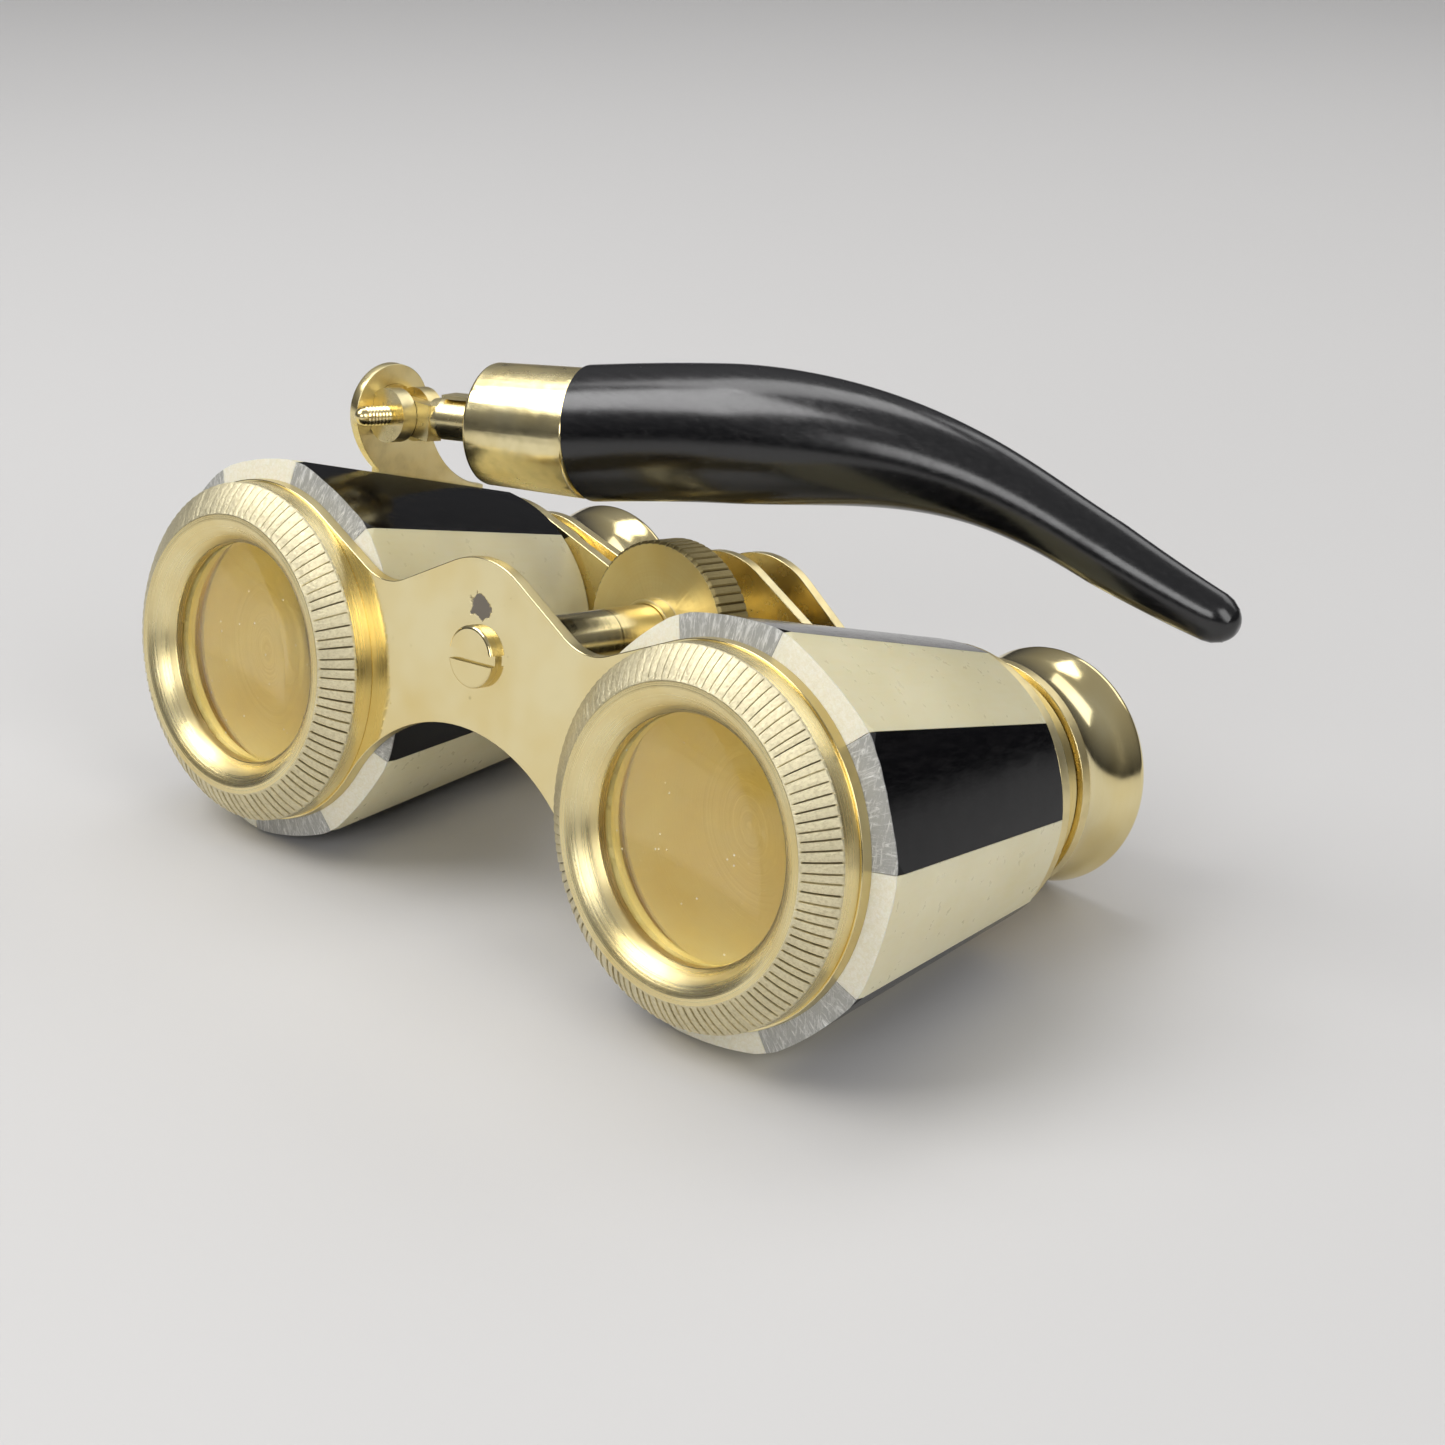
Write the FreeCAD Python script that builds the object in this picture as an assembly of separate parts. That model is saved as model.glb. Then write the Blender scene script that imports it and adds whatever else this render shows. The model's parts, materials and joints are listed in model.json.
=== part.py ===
import FreeCAD, Part
import math
import os

from FreeCAD import Matrix, Vector

# Opera glasses: two faceted barrels on three bridge plates, a centre focus wheel
# that drives the eyepieces, and a horn handle that folds across the top.
#
# Everything is drawn level first: X from the left barrel to the right one,
# Y along the optical axes from the objectives to the eyecups, Z up.
# Y = 0 is the front lip of the bezels, Z = 0 is the plane of both optical axes.
# At the end the whole model is tipped so that it rests on its front rings and
# its eyecups, with its origin at the centre of its footprint.

# ---------------------------------------------------------------- dimensions
BARREL_SPACING = 60.0
FACETS = 10
FACET_STEP = 360.0 / FACETS
FIRST_CORNER = {"left": 88.0, "right": 79.2}
REAR_TWIST = {"left": 2.5, "right": -2.5}
FIRST_STRIP = {"left": "horn", "right": "bone"}

GLUE_GAP = 0.03
RUNNING_GAP = 0.05

# Objective end
BEZEL_LIP_R = 13.5
BEZEL_LIP_IN_R = 12.9
BEZEL_R = 16.4
KNURL_END_Y = 2.1
BEZEL_REAR_Y = 4.2
LENS_OPENING_R = 10.7
LENS_SEAT_Y = 2.8
SPIGOT_R = 13.0
SPIGOT_REAR_Y = 8.6
OBJECTIVE_R = 11.85
OBJECTIVE_RIM = 1.6
OBJECTIVE_CROWN = 0.8
LENS_RING_T = 1.5

# Barrel cover and its brass core
PLATE_T = 1.2
COVER_FRONT_Y = BEZEL_REAR_Y + PLATE_T
COVER_REAR_Y = 36.0
COVER_FRONT_R = 18.95
COVER_REAR_R = 13.8
COVER_REAR_BEVEL = (1.0, 0.65)
FACET_CROWN = 0.5
FRONT_RING_R = 18.7
FRONT_RING_IN_R = 16.6
FRONT_CHAMFER = 0.5
CORE_FRONT_R = 15.4
CORE_REAR_R = 10.9
CORE_WALL_REAR_R = 9.45
CORE_CONE_FRONT_R = 11.9
CORE_CONE_FRONT_Y = 9.0
CORE_CONE_REAR_Y = 30.0
CORE_TAIL_R = 10.2
CORE_TAIL_REAR_Y = 39.6
COLLAR_R = 10.9
COLLAR_REAR_Y = 41.8
COLLAR_EDGE = 0.4

# Eyepiece end
DRAW_TUBE_R = CORE_WALL_REAR_R - RUNNING_GAP
DRAW_TUBE_IN_R = 8.6
DRAW_TUBE_FRONT_Y = 22.0
EYE_PLATE_Y = 42.0
EYE_SPIGOT_R = 8.8
EYE_SPIGOT_REAR_Y = 45.6
EYE_POCKET_R = 8.2
EYE_POCKET_Y = 43.3
EYE_STOP_R = 7.6
EYE_STOP_T = 1.0
EYE_LENS_RIM = 1.5
EYE_LENS_HOLLOW = 0.45
EYECUP_RIM_R = 11.3
EYECUP_RIM_Y = 51.3
EYECUP_REAR_Y = 52.2
EYECUP_WAIST_R = 9.9
EYECUP_WAIST_Y = 45.6
EYECUP_THROAT_R = 7.2

# Focusing screw, along the middle of the glasses
FOCUS_Z = 7.5
ROD_R = 2.85
ROD_JOINT_Y = 20.0
SPINDLE_R = 2.0
SPINDLE_FRONT_Y = 12.5
SPINDLE_ROOM = 0.15
WHEEL_R = 8.8
WHEEL_FRONT_Y = 27.2
WHEEL_T = 4.0
HUB_R = 3.3
HUB_FRONT_Y = 25.8
SCREW_HEAD_R = 2.85
SCREW_HEAD_T = 0.9
SCREW_SHANK_R = 1.5
SCREW_SLOT_W = 1.05
SCREW_SLOT_D = 0.5
SCREW_SLOT_TURN = -5.0
SCREW_EDGE_R = 0.3
SCREW_HOLE_REAR_Y = 10.0
SLEEVE_RING_R = 4.0
SLEEVE_RING_T = 1.0
SLEEVE_END_L = 1.4
SPINDLE_NUT_R = 3.0
SPINDLE_NUT_T = 2.2

# Bridge plates: ring radius, foot of the hump, peak of the hump, top of the arch
FRONT_BRIDGE = {"ring": 16.6, "shoulder": 7.5, "foot": (13.3, 10.6), "peak": 17.6, "arch": 0.6}
REAR_BRIDGE = {"ring": 13.2, "shoulder": 3.0, "foot": (13.6, 8.9), "peak": 15.8, "arch": 1.0}
EYE_BRIDGE = {"ring": 11.2, "shoulder": 3.5, "foot": (13.0, 7.2), "peak": 15.9, "arch": 0.6}
FOOT_BEND_R = 6.0
PEAK_BEND_R = 9.0

# Handle hinge on top of the left barrel
LUG_X = -31.5
LUG_T = 1.1
PIVOT_Y = 18.3
PIVOT_Z = 23.1
PIVOT_X = -28.4
EYE_R = 4.6
TRUNNION_R = 2.65
RIVET_R = 3.7
RIVET_T = 0.7
KNUCKLE_R = 2.65
KNUCKLE_HALF = 2.6
FORK_SLOT = 1.9
TONGUE_T = 1.8
TONGUE_R = 1.75
PIN_R = 0.95
PIN_FRONT_Y = PIVOT_Y - 6.3
PIN_REAR_Y = PIVOT_Y + 2.9
PIN_HEAD_R = 1.9
LUG_FOOT = (17.2, 31.5)
LUG_FOOT_Z = 12.0
LUG_SLOT_H = 10.0
LUG_FRONT_CURVE = ((17.2, 17.2), (15.2, 19.3), (14.0, 21.6))
LUG_EYE_END = (22.7, 24.3)
LUG_REAR_CURVE = ((24.1, 19.8), (26.3, 17.1), (31.5, 14.9))
PIN_HEAD_T = 1.2
PIN_SLOT = 0.5

# Handle, in its own plane: u runs outwards from the pivot, w runs up
HANDLE_RAKE = 15.7
HANDLE_RISE = 0.1
HANDLE_ROD_R = 2.05
HANDLE_ROD_U = 3.5
HANDLE_NECK_R = 1.9
HANDLE_NECK_END_U = 4.6
FERRULE_U = (10.0, 21.2)
FERRULE_R = (5.9, 6.2)
FERRULE_WALL = 0.9
TANG_R = 1.6
TANG_END_U = 34.0
HORN_CURVE = ((21.2, 2.2), (61.9, 11.0), (62.2, 3.7), (85.7, -2.5))
HORN_ROOT_R = 6.45
HORN_TIP_R = 3.0
HORN_TAPER_U = (35.0, 73.0)
HORN_TIP_SHARE = 0.07
HORN_SPIGOT_R = 5.0
HORN_SPIGOT_L = 6.0
LEAF = {"start_u": 4.9, "width": 2.6, "thick": 0.4}


# ------------------------------------------------------------ small builders
def cylinder_y(radius, y0, y1, x=0.0, z=0.0):
    return Part.makeCylinder(radius, y1 - y0, Vector(x, y0, z), Vector(0, 1, 0))


def tube_y(outer, inner, y0, y1, x=0.0, z=0.0):
    return cylinder_y(outer, y0, y1, x, z).cut(cylinder_y(inner, y0 - 1, y1 + 1, x, z))


def turned(profile, x):
    """Turn a closed (radius, y) profile about an optical axis. A point given as
    ("arc", via, end) is reached by an arc through via."""
    edges = []
    start = Vector(profile[0][0], profile[0][1], 0)
    first = start
    for step in profile[1:]:
        if step[0] == "arc":
            via = Vector(step[1][0], step[1][1], 0)
            end = Vector(step[2][0], step[2][1], 0)
            edges.append(Part.Arc(start, via, end).toShape())
        else:
            end = Vector(step[0], step[1], 0)
            edges.append(Part.makeLine(start, end))
        start = end
    if start.distanceToPoint(first) > 1e-6:
        edges.append(Part.makeLine(start, first))
    face = Part.Face(Part.Wire(edges))
    solid = face.revolve(Vector(0, 0, 0), Vector(0, 1, 0), 360)
    solid.translate(Vector(x, 0, 0))
    return solid


def line_radius(y, front, rear):
    """Radius at y on a straight taper between two (y, radius) points."""
    share = (y - front[0]) / (rear[0] - front[0])
    return front[1] + share * (rear[1] - front[1])


# ------------------------------------------------------------- objective end
def objective_bezel(x):
    return turned([
        (LENS_OPENING_R, LENS_SEAT_Y),
        (LENS_OPENING_R, KNURL_END_Y - 0.2),
        ("arc", (11.6, 0.75), (BEZEL_LIP_IN_R, 0.0)),
        (BEZEL_LIP_R, 0.0),
        ("arc", (15.2, 0.75), (BEZEL_R, KNURL_END_Y)),
        (BEZEL_R, BEZEL_REAR_Y),
        (SPIGOT_R, BEZEL_REAR_Y),
        (SPIGOT_R, SPIGOT_REAR_Y),
        (OBJECTIVE_R + RUNNING_GAP, SPIGOT_REAR_Y),
        (OBJECTIVE_R + RUNNING_GAP, LENS_SEAT_Y),
    ], x)


def lens_face(clear_r, depth, y, side, x):
    """The ball whose surface is a lens face: depth deep over clear_r, its edge at y.
    side is +1 where the ball's centre lies to the rear of the face, -1 in front."""
    ball_r = (clear_r ** 2 + depth ** 2) / (2 * depth)
    return Part.makeSphere(ball_r, Vector(x, y + side * (ball_r - depth), 0))


def objective_lens(x):
    """A rim with a dome of OBJECTIVE_CROWN on both faces."""
    rim_y = LENS_SEAT_Y + OBJECTIVE_RIM
    middle = (LENS_SEAT_Y + rim_y) / 2
    clear_r = LENS_OPENING_R - 0.1
    rim = cylinder_y(OBJECTIVE_R, LENS_SEAT_Y, rim_y, x)
    front = lens_face(clear_r, OBJECTIVE_CROWN, LENS_SEAT_Y, 1, x)
    rear = lens_face(clear_r, OBJECTIVE_CROWN, rim_y, -1, x)
    front_dome = front.common(cylinder_y(clear_r, LENS_SEAT_Y - 2, middle, x))
    rear_dome = rear.common(cylinder_y(clear_r, middle, rim_y + 2, x))
    return rim.fuse(front_dome).fuse(rear_dome).removeSplitter()


def objective_ring(x):
    front = LENS_SEAT_Y + OBJECTIVE_RIM
    return tube_y(OBJECTIVE_R, LENS_OPENING_R, front, front + LENS_RING_T, x)


# ------------------------------------------------------- barrel core and cover
def core_radius(y):
    return line_radius(y, (COVER_FRONT_Y, CORE_FRONT_R), (COVER_REAR_Y, CORE_REAR_R))


def corner_radius(y):
    return line_radius(y, (COVER_FRONT_Y, COVER_FRONT_R), (COVER_REAR_Y, COVER_REAR_R))


def barrel_tube(x):
    return turned([
        (SPIGOT_R + GLUE_GAP, COVER_FRONT_Y),
        (CORE_FRONT_R, COVER_FRONT_Y),
        (CORE_REAR_R, COVER_REAR_Y),
        (CORE_TAIL_R, COVER_REAR_Y),
        (CORE_TAIL_R, CORE_TAIL_REAR_Y),
        (CORE_WALL_REAR_R, CORE_TAIL_REAR_Y),
        (CORE_WALL_REAR_R, CORE_CONE_REAR_Y),
        (CORE_CONE_FRONT_R, CORE_CONE_FRONT_Y),
        (SPIGOT_R + GLUE_GAP, CORE_CONE_FRONT_Y),
    ], x)


def strip_section(y, start_deg, end_deg):
    """Closed outline of one strip at y. Its outer side is slightly crowned."""
    outer = corner_radius(y)
    inner = core_radius(y) + GLUE_GAP
    middle = outer * math.cos(math.radians(FACET_STEP / 2)) + FACET_CROWN * outer / COVER_FRONT_R
    half = (start_deg + end_deg) / 2

    def at(radius, degrees):
        turn = math.radians(degrees)
        return Vector(radius * math.cos(turn), y, radius * math.sin(turn))

    edges = [
        Part.Arc(at(outer, start_deg), at(middle, half), at(outer, end_deg)).toShape(),
        Part.makeLine(at(outer, end_deg), at(inner, end_deg)),
        Part.Arc(at(inner, end_deg), at(inner, half), at(inner, start_deg)).toShape(),
        Part.makeLine(at(inner, start_deg), at(outer, start_deg)),
    ]
    return Part.Wire(edges)


def cover_envelope(x):
    """The turned shape of the cover: a bevelled ring in front and a bevel behind."""
    bevel_l, bevel_r = COVER_REAR_BEVEL
    return turned([
        (0.0, COVER_FRONT_Y),
        (FRONT_RING_IN_R, COVER_FRONT_Y),
        (FRONT_RING_R, COVER_FRONT_Y + FRONT_CHAMFER),
        (FRONT_RING_R, 0.5 * (COVER_FRONT_Y + COVER_REAR_Y)),
        (COVER_REAR_R + 0.2, COVER_REAR_Y - bevel_l),
        (COVER_REAR_R - bevel_r, COVER_REAR_Y),
        (0.0, COVER_REAR_Y),
    ], x)


def cover_strip(side, x, index):
    gap_deg = math.degrees(GLUE_GAP / CORE_REAR_R) / 2
    start = FIRST_CORNER[side] - index * FACET_STEP - gap_deg
    end = start - FACET_STEP + 2 * gap_deg
    twist = REAR_TWIST[side]
    sections = [
        strip_section(COVER_FRONT_Y, start, end),
        strip_section(COVER_REAR_Y, start + twist, end + twist),
    ]
    solid = Part.makeLoft(sections, True, True)
    solid.translate(Vector(x, 0, 0))
    return solid.common(cover_envelope(x))


def strip_material(side, index):
    names = ["horn", "bone"] if FIRST_STRIP[side] == "horn" else ["bone", "horn"]
    return names[index % 2]


def rear_collar(x):
    return turned([
        (CORE_TAIL_R + GLUE_GAP, COVER_REAR_Y + PLATE_T),
        (COLLAR_R, COVER_REAR_Y + PLATE_T),
        (COLLAR_R, COLLAR_REAR_Y - COLLAR_EDGE),
        (COLLAR_R - COLLAR_EDGE, COLLAR_REAR_Y),
        (CORE_WALL_REAR_R, COLLAR_REAR_Y),
        (CORE_WALL_REAR_R, CORE_TAIL_REAR_Y + GLUE_GAP),
        (CORE_TAIL_R + GLUE_GAP, CORE_TAIL_REAR_Y + GLUE_GAP),
    ], x)


# -------------------------------------------------------------- eyepiece end
def draw_tube(x):
    return turned([
        (DRAW_TUBE_IN_R, DRAW_TUBE_FRONT_Y),
        (DRAW_TUBE_R, DRAW_TUBE_FRONT_Y),
        (DRAW_TUBE_R, EYE_PLATE_Y),
        (EYE_SPIGOT_R, EYE_PLATE_Y),
        (EYE_SPIGOT_R, EYE_SPIGOT_REAR_Y),
        (EYE_POCKET_R, EYE_SPIGOT_REAR_Y),
        (EYE_POCKET_R, EYE_POCKET_Y),
        (EYE_STOP_R, EYE_POCKET_Y),
        (EYE_STOP_R, EYE_PLATE_Y - EYE_STOP_T),
        (DRAW_TUBE_IN_R, EYE_PLATE_Y - EYE_STOP_T),
    ], x)


def eye_lens(x):
    """A disc hollowed on both faces by EYE_LENS_HOLLOW."""
    front = EYE_POCKET_Y
    rear = front + EYE_LENS_RIM
    edge = EYE_STOP_R - 0.3
    disc = cylinder_y(EYE_POCKET_R - RUNNING_GAP, front, rear, x)
    front_ball = lens_face(edge, EYE_LENS_HOLLOW, front, -1, x)
    rear_ball = lens_face(edge, EYE_LENS_HOLLOW, rear, 1, x)
    return disc.cut(front_ball).cut(rear_ball)


def eye_ring(x):
    front = EYE_POCKET_Y + EYE_LENS_RIM
    return tube_y(EYE_POCKET_R, EYECUP_THROAT_R, front, EYE_SPIGOT_REAR_Y, x)


def eyecup(x):
    front = EYE_PLATE_Y + PLATE_T
    step = EYE_SPIGOT_REAR_Y + GLUE_GAP
    return turned([
        (EYE_SPIGOT_R + GLUE_GAP, front),
        (10.6, front),
        ("arc", (EYECUP_WAIST_R, EYECUP_WAIST_Y), (10.5, 49.2)),
        ("arc", (10.85, 50.0), (EYECUP_RIM_R, EYECUP_RIM_Y)),
        ("arc", (11.05, 51.95), (10.5, EYECUP_REAR_Y)),
        ("arc", (9.9, 51.9), (9.4, 51.1)),
        ("arc", (8.1, 48.6), (EYECUP_THROAT_R, 47.3)),
        (EYECUP_THROAT_R, step),
        (EYE_SPIGOT_R + GLUE_GAP, step),
    ], x)


# --------------------------------------------------------------- bridge plates
def rounded_path(points):
    """Edges through (x, z, bend radius) points; a corner with a radius is rounded."""
    edges = []
    corners = [Vector(p[0], 0, p[1]) for p in points]
    start = corners[0]
    for i in range(1, len(corners) - 1):
        corner = corners[i]
        back = (corners[i - 1] - corner).normalize()
        ahead = (corners[i + 1] - corner).normalize()
        half = back.getAngle(ahead) / 2
        reach = points[i][2] / math.tan(half)
        middle = (back + ahead).normalize()
        centre = corner + middle * (points[i][2] / math.sin(half))
        arc_start = corner + back * reach
        arc_end = corner + ahead * reach
        edges.append(Part.makeLine(start, arc_start))
        edges.append(Part.Arc(arc_start, centre - middle * points[i][2], arc_end).toShape())
        start = arc_end
    edges.append(Part.makeLine(start, corners[-1]))
    return edges


def bridge_plate(shape, front_y):
    """Two rings joined by a web with a hump on top and a round arch below. The
    arch is a circle that just touches both rings."""
    ring = shape["ring"]
    half = BARREL_SPACING / 2
    arch_top = shape["arch"]
    arch_r = (half ** 2 + arch_top ** 2 - ring ** 2) / (2 * (ring + arch_top))
    arch_z = arch_top - arch_r
    share = arch_r / (arch_r + ring)
    touch = (half * share, arch_z * (1 - share))
    foot_x, foot_z = shape["foot"]
    shoulder = shape["shoulder"]
    shoulder_z = math.sqrt(ring ** 2 - shoulder ** 2)
    top = rounded_path([
        (-half + shoulder, shoulder_z, 0),
        (-foot_x, foot_z, FOOT_BEND_R),
        (0, shape["peak"], PEAK_BEND_R),
        (foot_x, foot_z, FOOT_BEND_R),
        (half - shoulder, shoulder_z, 0),
    ])
    lower = [(half - shoulder, shoulder_z), (half, 0), touch, (-touch[0], touch[1]), (-half, 0),
             (-half + shoulder, shoulder_z)]
    corners = [Vector(p[0], 0, p[1]) for p in lower]
    rest = [Part.makeLine(a, b) for a, b in zip(corners, corners[1:])]
    web = Part.Face(Part.Wire(top + rest)).extrude(Vector(0, PLATE_T, 0))
    web.translate(Vector(0, front_y, 0))
    web = web.cut(cylinder_y(arch_r, front_y - 1, front_y + PLATE_T + 1, 0, arch_z))
    plate = web
    for x in (-half, half):
        plate = plate.fuse(cylinder_y(ring, front_y, front_y + PLATE_T, x))
    return plate.removeSplitter()


def bore_plate(plate, front_y, barrel_hole, centre_hole):
    half = BARREL_SPACING / 2
    for x, z, radius in ((-half, 0, barrel_hole), (half, 0, barrel_hole), (0, FOCUS_Z, centre_hole)):
        plate = plate.cut(cylinder_y(radius, front_y - 1, front_y + PLATE_T + 1, x, z))
    return plate


def front_bridge():
    plate = bridge_plate(FRONT_BRIDGE, BEZEL_REAR_Y)
    return bore_plate(plate, BEZEL_REAR_Y, SPIGOT_R + GLUE_GAP, SCREW_SHANK_R + GLUE_GAP)


def rear_bridge():
    plate = bridge_plate(REAR_BRIDGE, COVER_REAR_Y)
    return bore_plate(plate, COVER_REAR_Y, CORE_TAIL_R + GLUE_GAP, ROD_R + RUNNING_GAP)


def eyepiece_bridge():
    plate = bridge_plate(EYE_BRIDGE, EYE_PLATE_Y)
    return bore_plate(plate, EYE_PLATE_Y, EYE_SPIGOT_R + GLUE_GAP, SCREW_SHANK_R + GLUE_GAP)


# ------------------------------------------------------------ focusing screw
def bridge_screw():
    head = cylinder_y(SCREW_HEAD_R, BEZEL_REAR_Y - SCREW_HEAD_T, BEZEL_REAR_Y, 0, FOCUS_Z)
    face_y = BEZEL_REAR_Y - SCREW_HEAD_T
    front_edges = [e for e in head.Edges if abs(e.BoundBox.YMax - face_y) < 0.01]
    head = head.makeFillet(SCREW_EDGE_R, front_edges)
    shank = cylinder_y(SCREW_SHANK_R, BEZEL_REAR_Y, SPIGOT_REAR_Y, 0, FOCUS_Z)
    slot = Part.makeBox(3 * SCREW_HEAD_R, SCREW_SLOT_D, SCREW_SLOT_W)
    slot.translate(Vector(-1.5 * SCREW_HEAD_R, face_y, -SCREW_SLOT_W / 2))
    slot.rotate(Vector(0, 0, 0), Vector(0, 1, 0), SCREW_SLOT_TURN)
    slot.translate(Vector(0, 0, FOCUS_Z))
    return head.fuse(shank).cut(slot)


def focus_post():
    post = cylinder_y(ROD_R, COVER_FRONT_Y, ROD_JOINT_Y, 0, FOCUS_Z)
    hole = cylinder_y(SCREW_SHANK_R + GLUE_GAP, COVER_FRONT_Y - 1, SCREW_HOLE_REAR_Y, 0, FOCUS_Z)
    bore = cylinder_y(SPINDLE_R + SPINDLE_ROOM, SCREW_HOLE_REAR_Y, ROD_JOINT_Y + 1, 0, FOCUS_Z)
    return post.cut(hole).cut(bore)


def focus_sleeve():
    """Turns in the rear bridge, between its shoulder and the ring behind the plate."""
    bore = SPINDLE_R + RUNNING_GAP
    rear = COVER_REAR_Y + PLATE_T + SLEEVE_END_L
    sleeve = tube_y(ROD_R, bore, ROD_JOINT_Y + 2 * RUNNING_GAP, rear, 0, FOCUS_Z)
    shoulder_front = WHEEL_FRONT_Y + WHEEL_T
    shoulder = tube_y(HUB_R, bore, shoulder_front, COVER_REAR_Y - RUNNING_GAP, 0, FOCUS_Z)
    return sleeve.fuse(shoulder).removeSplitter()


def focus_wheel():
    rim = tube_y(WHEEL_R, ROD_R, WHEEL_FRONT_Y, WHEEL_FRONT_Y + WHEEL_T, 0, FOCUS_Z)
    hub = tube_y(HUB_R, ROD_R, HUB_FRONT_Y, WHEEL_FRONT_Y, 0, FOCUS_Z)
    return rim.fuse(hub).removeSplitter()


def sleeve_ring():
    front = COVER_REAR_Y + PLATE_T + RUNNING_GAP
    return tube_y(SLEEVE_RING_R, ROD_R, front, front + SLEEVE_RING_T, 0, FOCUS_Z)


def focus_spindle():
    rod = cylinder_y(SPINDLE_R, SPINDLE_FRONT_Y, EYE_PLATE_Y, 0, FOCUS_Z)
    return rod.fuse(cylinder_y(SCREW_SHANK_R, EYE_PLATE_Y, EYE_PLATE_Y + 3.0, 0, FOCUS_Z))


def spindle_nut():
    front = EYE_PLATE_Y + PLATE_T
    nut = cylinder_y(SPINDLE_NUT_R, front, front + SPINDLE_NUT_T, 0, FOCUS_Z)
    return nut.cut(cylinder_y(SCREW_SHANK_R + GLUE_GAP, front - 1, front + 3, 0, FOCUS_Z))


# ---------------------------------------------------------------- handle hinge
def lug_blank(thick, x):
    """The hinge plate's side view: a round eye on a foot that flares to the rear."""
    front_foot = Vector(x, LUG_FOOT[0], LUG_FOOT_Z)
    rear_foot = Vector(x, LUG_FOOT[1], LUG_FOOT_Z)
    front_curve = [Vector(x, y, z) for y, z in LUG_FRONT_CURVE]
    rear_curve = [Vector(x, y, z) for y, z in LUG_REAR_CURVE]
    eye_top = Vector(x, PIVOT_Y, PIVOT_Z + EYE_R)
    eye_end = Vector(x, *LUG_EYE_END)
    outline = [
        Part.makeLine(front_foot, front_curve[0]),
        Part.Arc(*front_curve).toShape(),
        Part.Arc(front_curve[-1], eye_top, eye_end).toShape(),
        Part.makeLine(eye_end, rear_curve[0]),
        Part.Arc(*rear_curve).toShape(),
        Part.makeLine(rear_curve[-1], rear_foot),
        Part.makeLine(rear_foot, front_foot),
    ]
    return Part.Face(Part.Wire(outline)).extrude(Vector(thick, 0, 0))


def core_solid(x):
    return turned([
        (0.0, COVER_FRONT_Y),
        (CORE_FRONT_R, COVER_FRONT_Y),
        (CORE_REAR_R, COVER_REAR_Y),
        (0.0, COVER_REAR_Y),
    ], x)


def hinge_lug():
    plate = lug_blank(LUG_T, LUG_X)
    eye = along_x(TRUNNION_R, LUG_X - LUG_T, LUG_X + 2 * LUG_T)
    return plate.cut(eye).cut(core_solid(-BARREL_SPACING / 2))


def lug_slot():
    """Room for the lug's root in the strip that it passes through."""
    front_y, rear_y = LUG_FOOT
    size = (LUG_T + 2 * GLUE_GAP, rear_y - front_y + 2 * GLUE_GAP, LUG_SLOT_H)
    slot = Part.makeBox(*size)
    slot.translate(Vector(LUG_X - GLUE_GAP, front_y - GLUE_GAP, LUG_FOOT_Z - 2.0))
    return slot


def along_x(radius, x0, x1):
    return Part.makeCylinder(radius, x1 - x0, Vector(x0, PIVOT_Y, PIVOT_Z), Vector(1, 0, 0))


def hinge_trunnion():
    """Riveted through the lug's eye. Its round knuckle is slotted for the handle's tongue."""
    body = along_x(TRUNNION_R, LUG_X, PIVOT_X - KNUCKLE_R / 2)
    knuckle = cylinder_y(KNUCKLE_R, PIVOT_Y - KNUCKLE_HALF, PIVOT_Y + KNUCKLE_HALF, PIVOT_X, PIVOT_Z)
    body = body.fuse(knuckle.cut(along_x(EYE_R, LUG_X, LUG_X + LUG_T + GLUE_GAP)))
    head = along_x(RIVET_R, LUG_X - RIVET_T, LUG_X)
    depth = 2 * KNUCKLE_R + 1.0
    slot = Part.makeBox(depth, FORK_SLOT, depth)
    slot.translate(Vector(PIVOT_X - TONGUE_R - 2 * RUNNING_GAP, PIVOT_Y - FORK_SLOT / 2, PIVOT_Z - depth / 2))
    pin_hole = cylinder_y(PIN_R, PIVOT_Y - 5, PIVOT_Y + 5, PIVOT_X, PIVOT_Z)
    return body.fuse(head).cut(slot).cut(pin_hole).removeSplitter()


def pivot_screw():
    shank = cylinder_y(PIN_R, PIN_FRONT_Y + PIN_R, PIN_REAR_Y, PIVOT_X, PIVOT_Z)
    tip = Part.makeSphere(PIN_R, Vector(PIVOT_X, PIN_FRONT_Y + PIN_R, PIVOT_Z))
    head = cylinder_y(PIN_HEAD_R, PIN_REAR_Y, PIN_REAR_Y + PIN_HEAD_T, PIVOT_X, PIVOT_Z)
    slot = Part.makeBox(3 * PIN_HEAD_R, PIN_SLOT, PIN_SLOT)
    slot_y = PIN_REAR_Y + PIN_HEAD_T - 0.8 * PIN_SLOT
    slot.translate(Vector(PIVOT_X - 1.5 * PIN_HEAD_R, slot_y, PIVOT_Z - PIN_SLOT / 2))
    return shank.fuse(tip).fuse(head).cut(slot).removeSplitter()


# ----------------------------------------------------------------- the handle
def to_handle_place(shape):
    """Shapes drawn with u along X and w along Z move to the pivot and rake back."""
    shape.rotate(Vector(0, 0, 0), Vector(0, 0, 1), HANDLE_RAKE)
    shape.translate(Vector(PIVOT_X, PIVOT_Y, PIVOT_Z))
    return shape


def handle_axis_point(u):
    return Vector(u, 0, HANDLE_RISE * u)


def handle_bar(radius, u0, u1, end_radius=None):
    start = handle_axis_point(u0)
    run = handle_axis_point(u1) - start
    if end_radius is None:
        return Part.makeCylinder(radius, run.Length, start, run)
    return Part.makeCone(radius, end_radius, run.Length, start, run)


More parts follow.
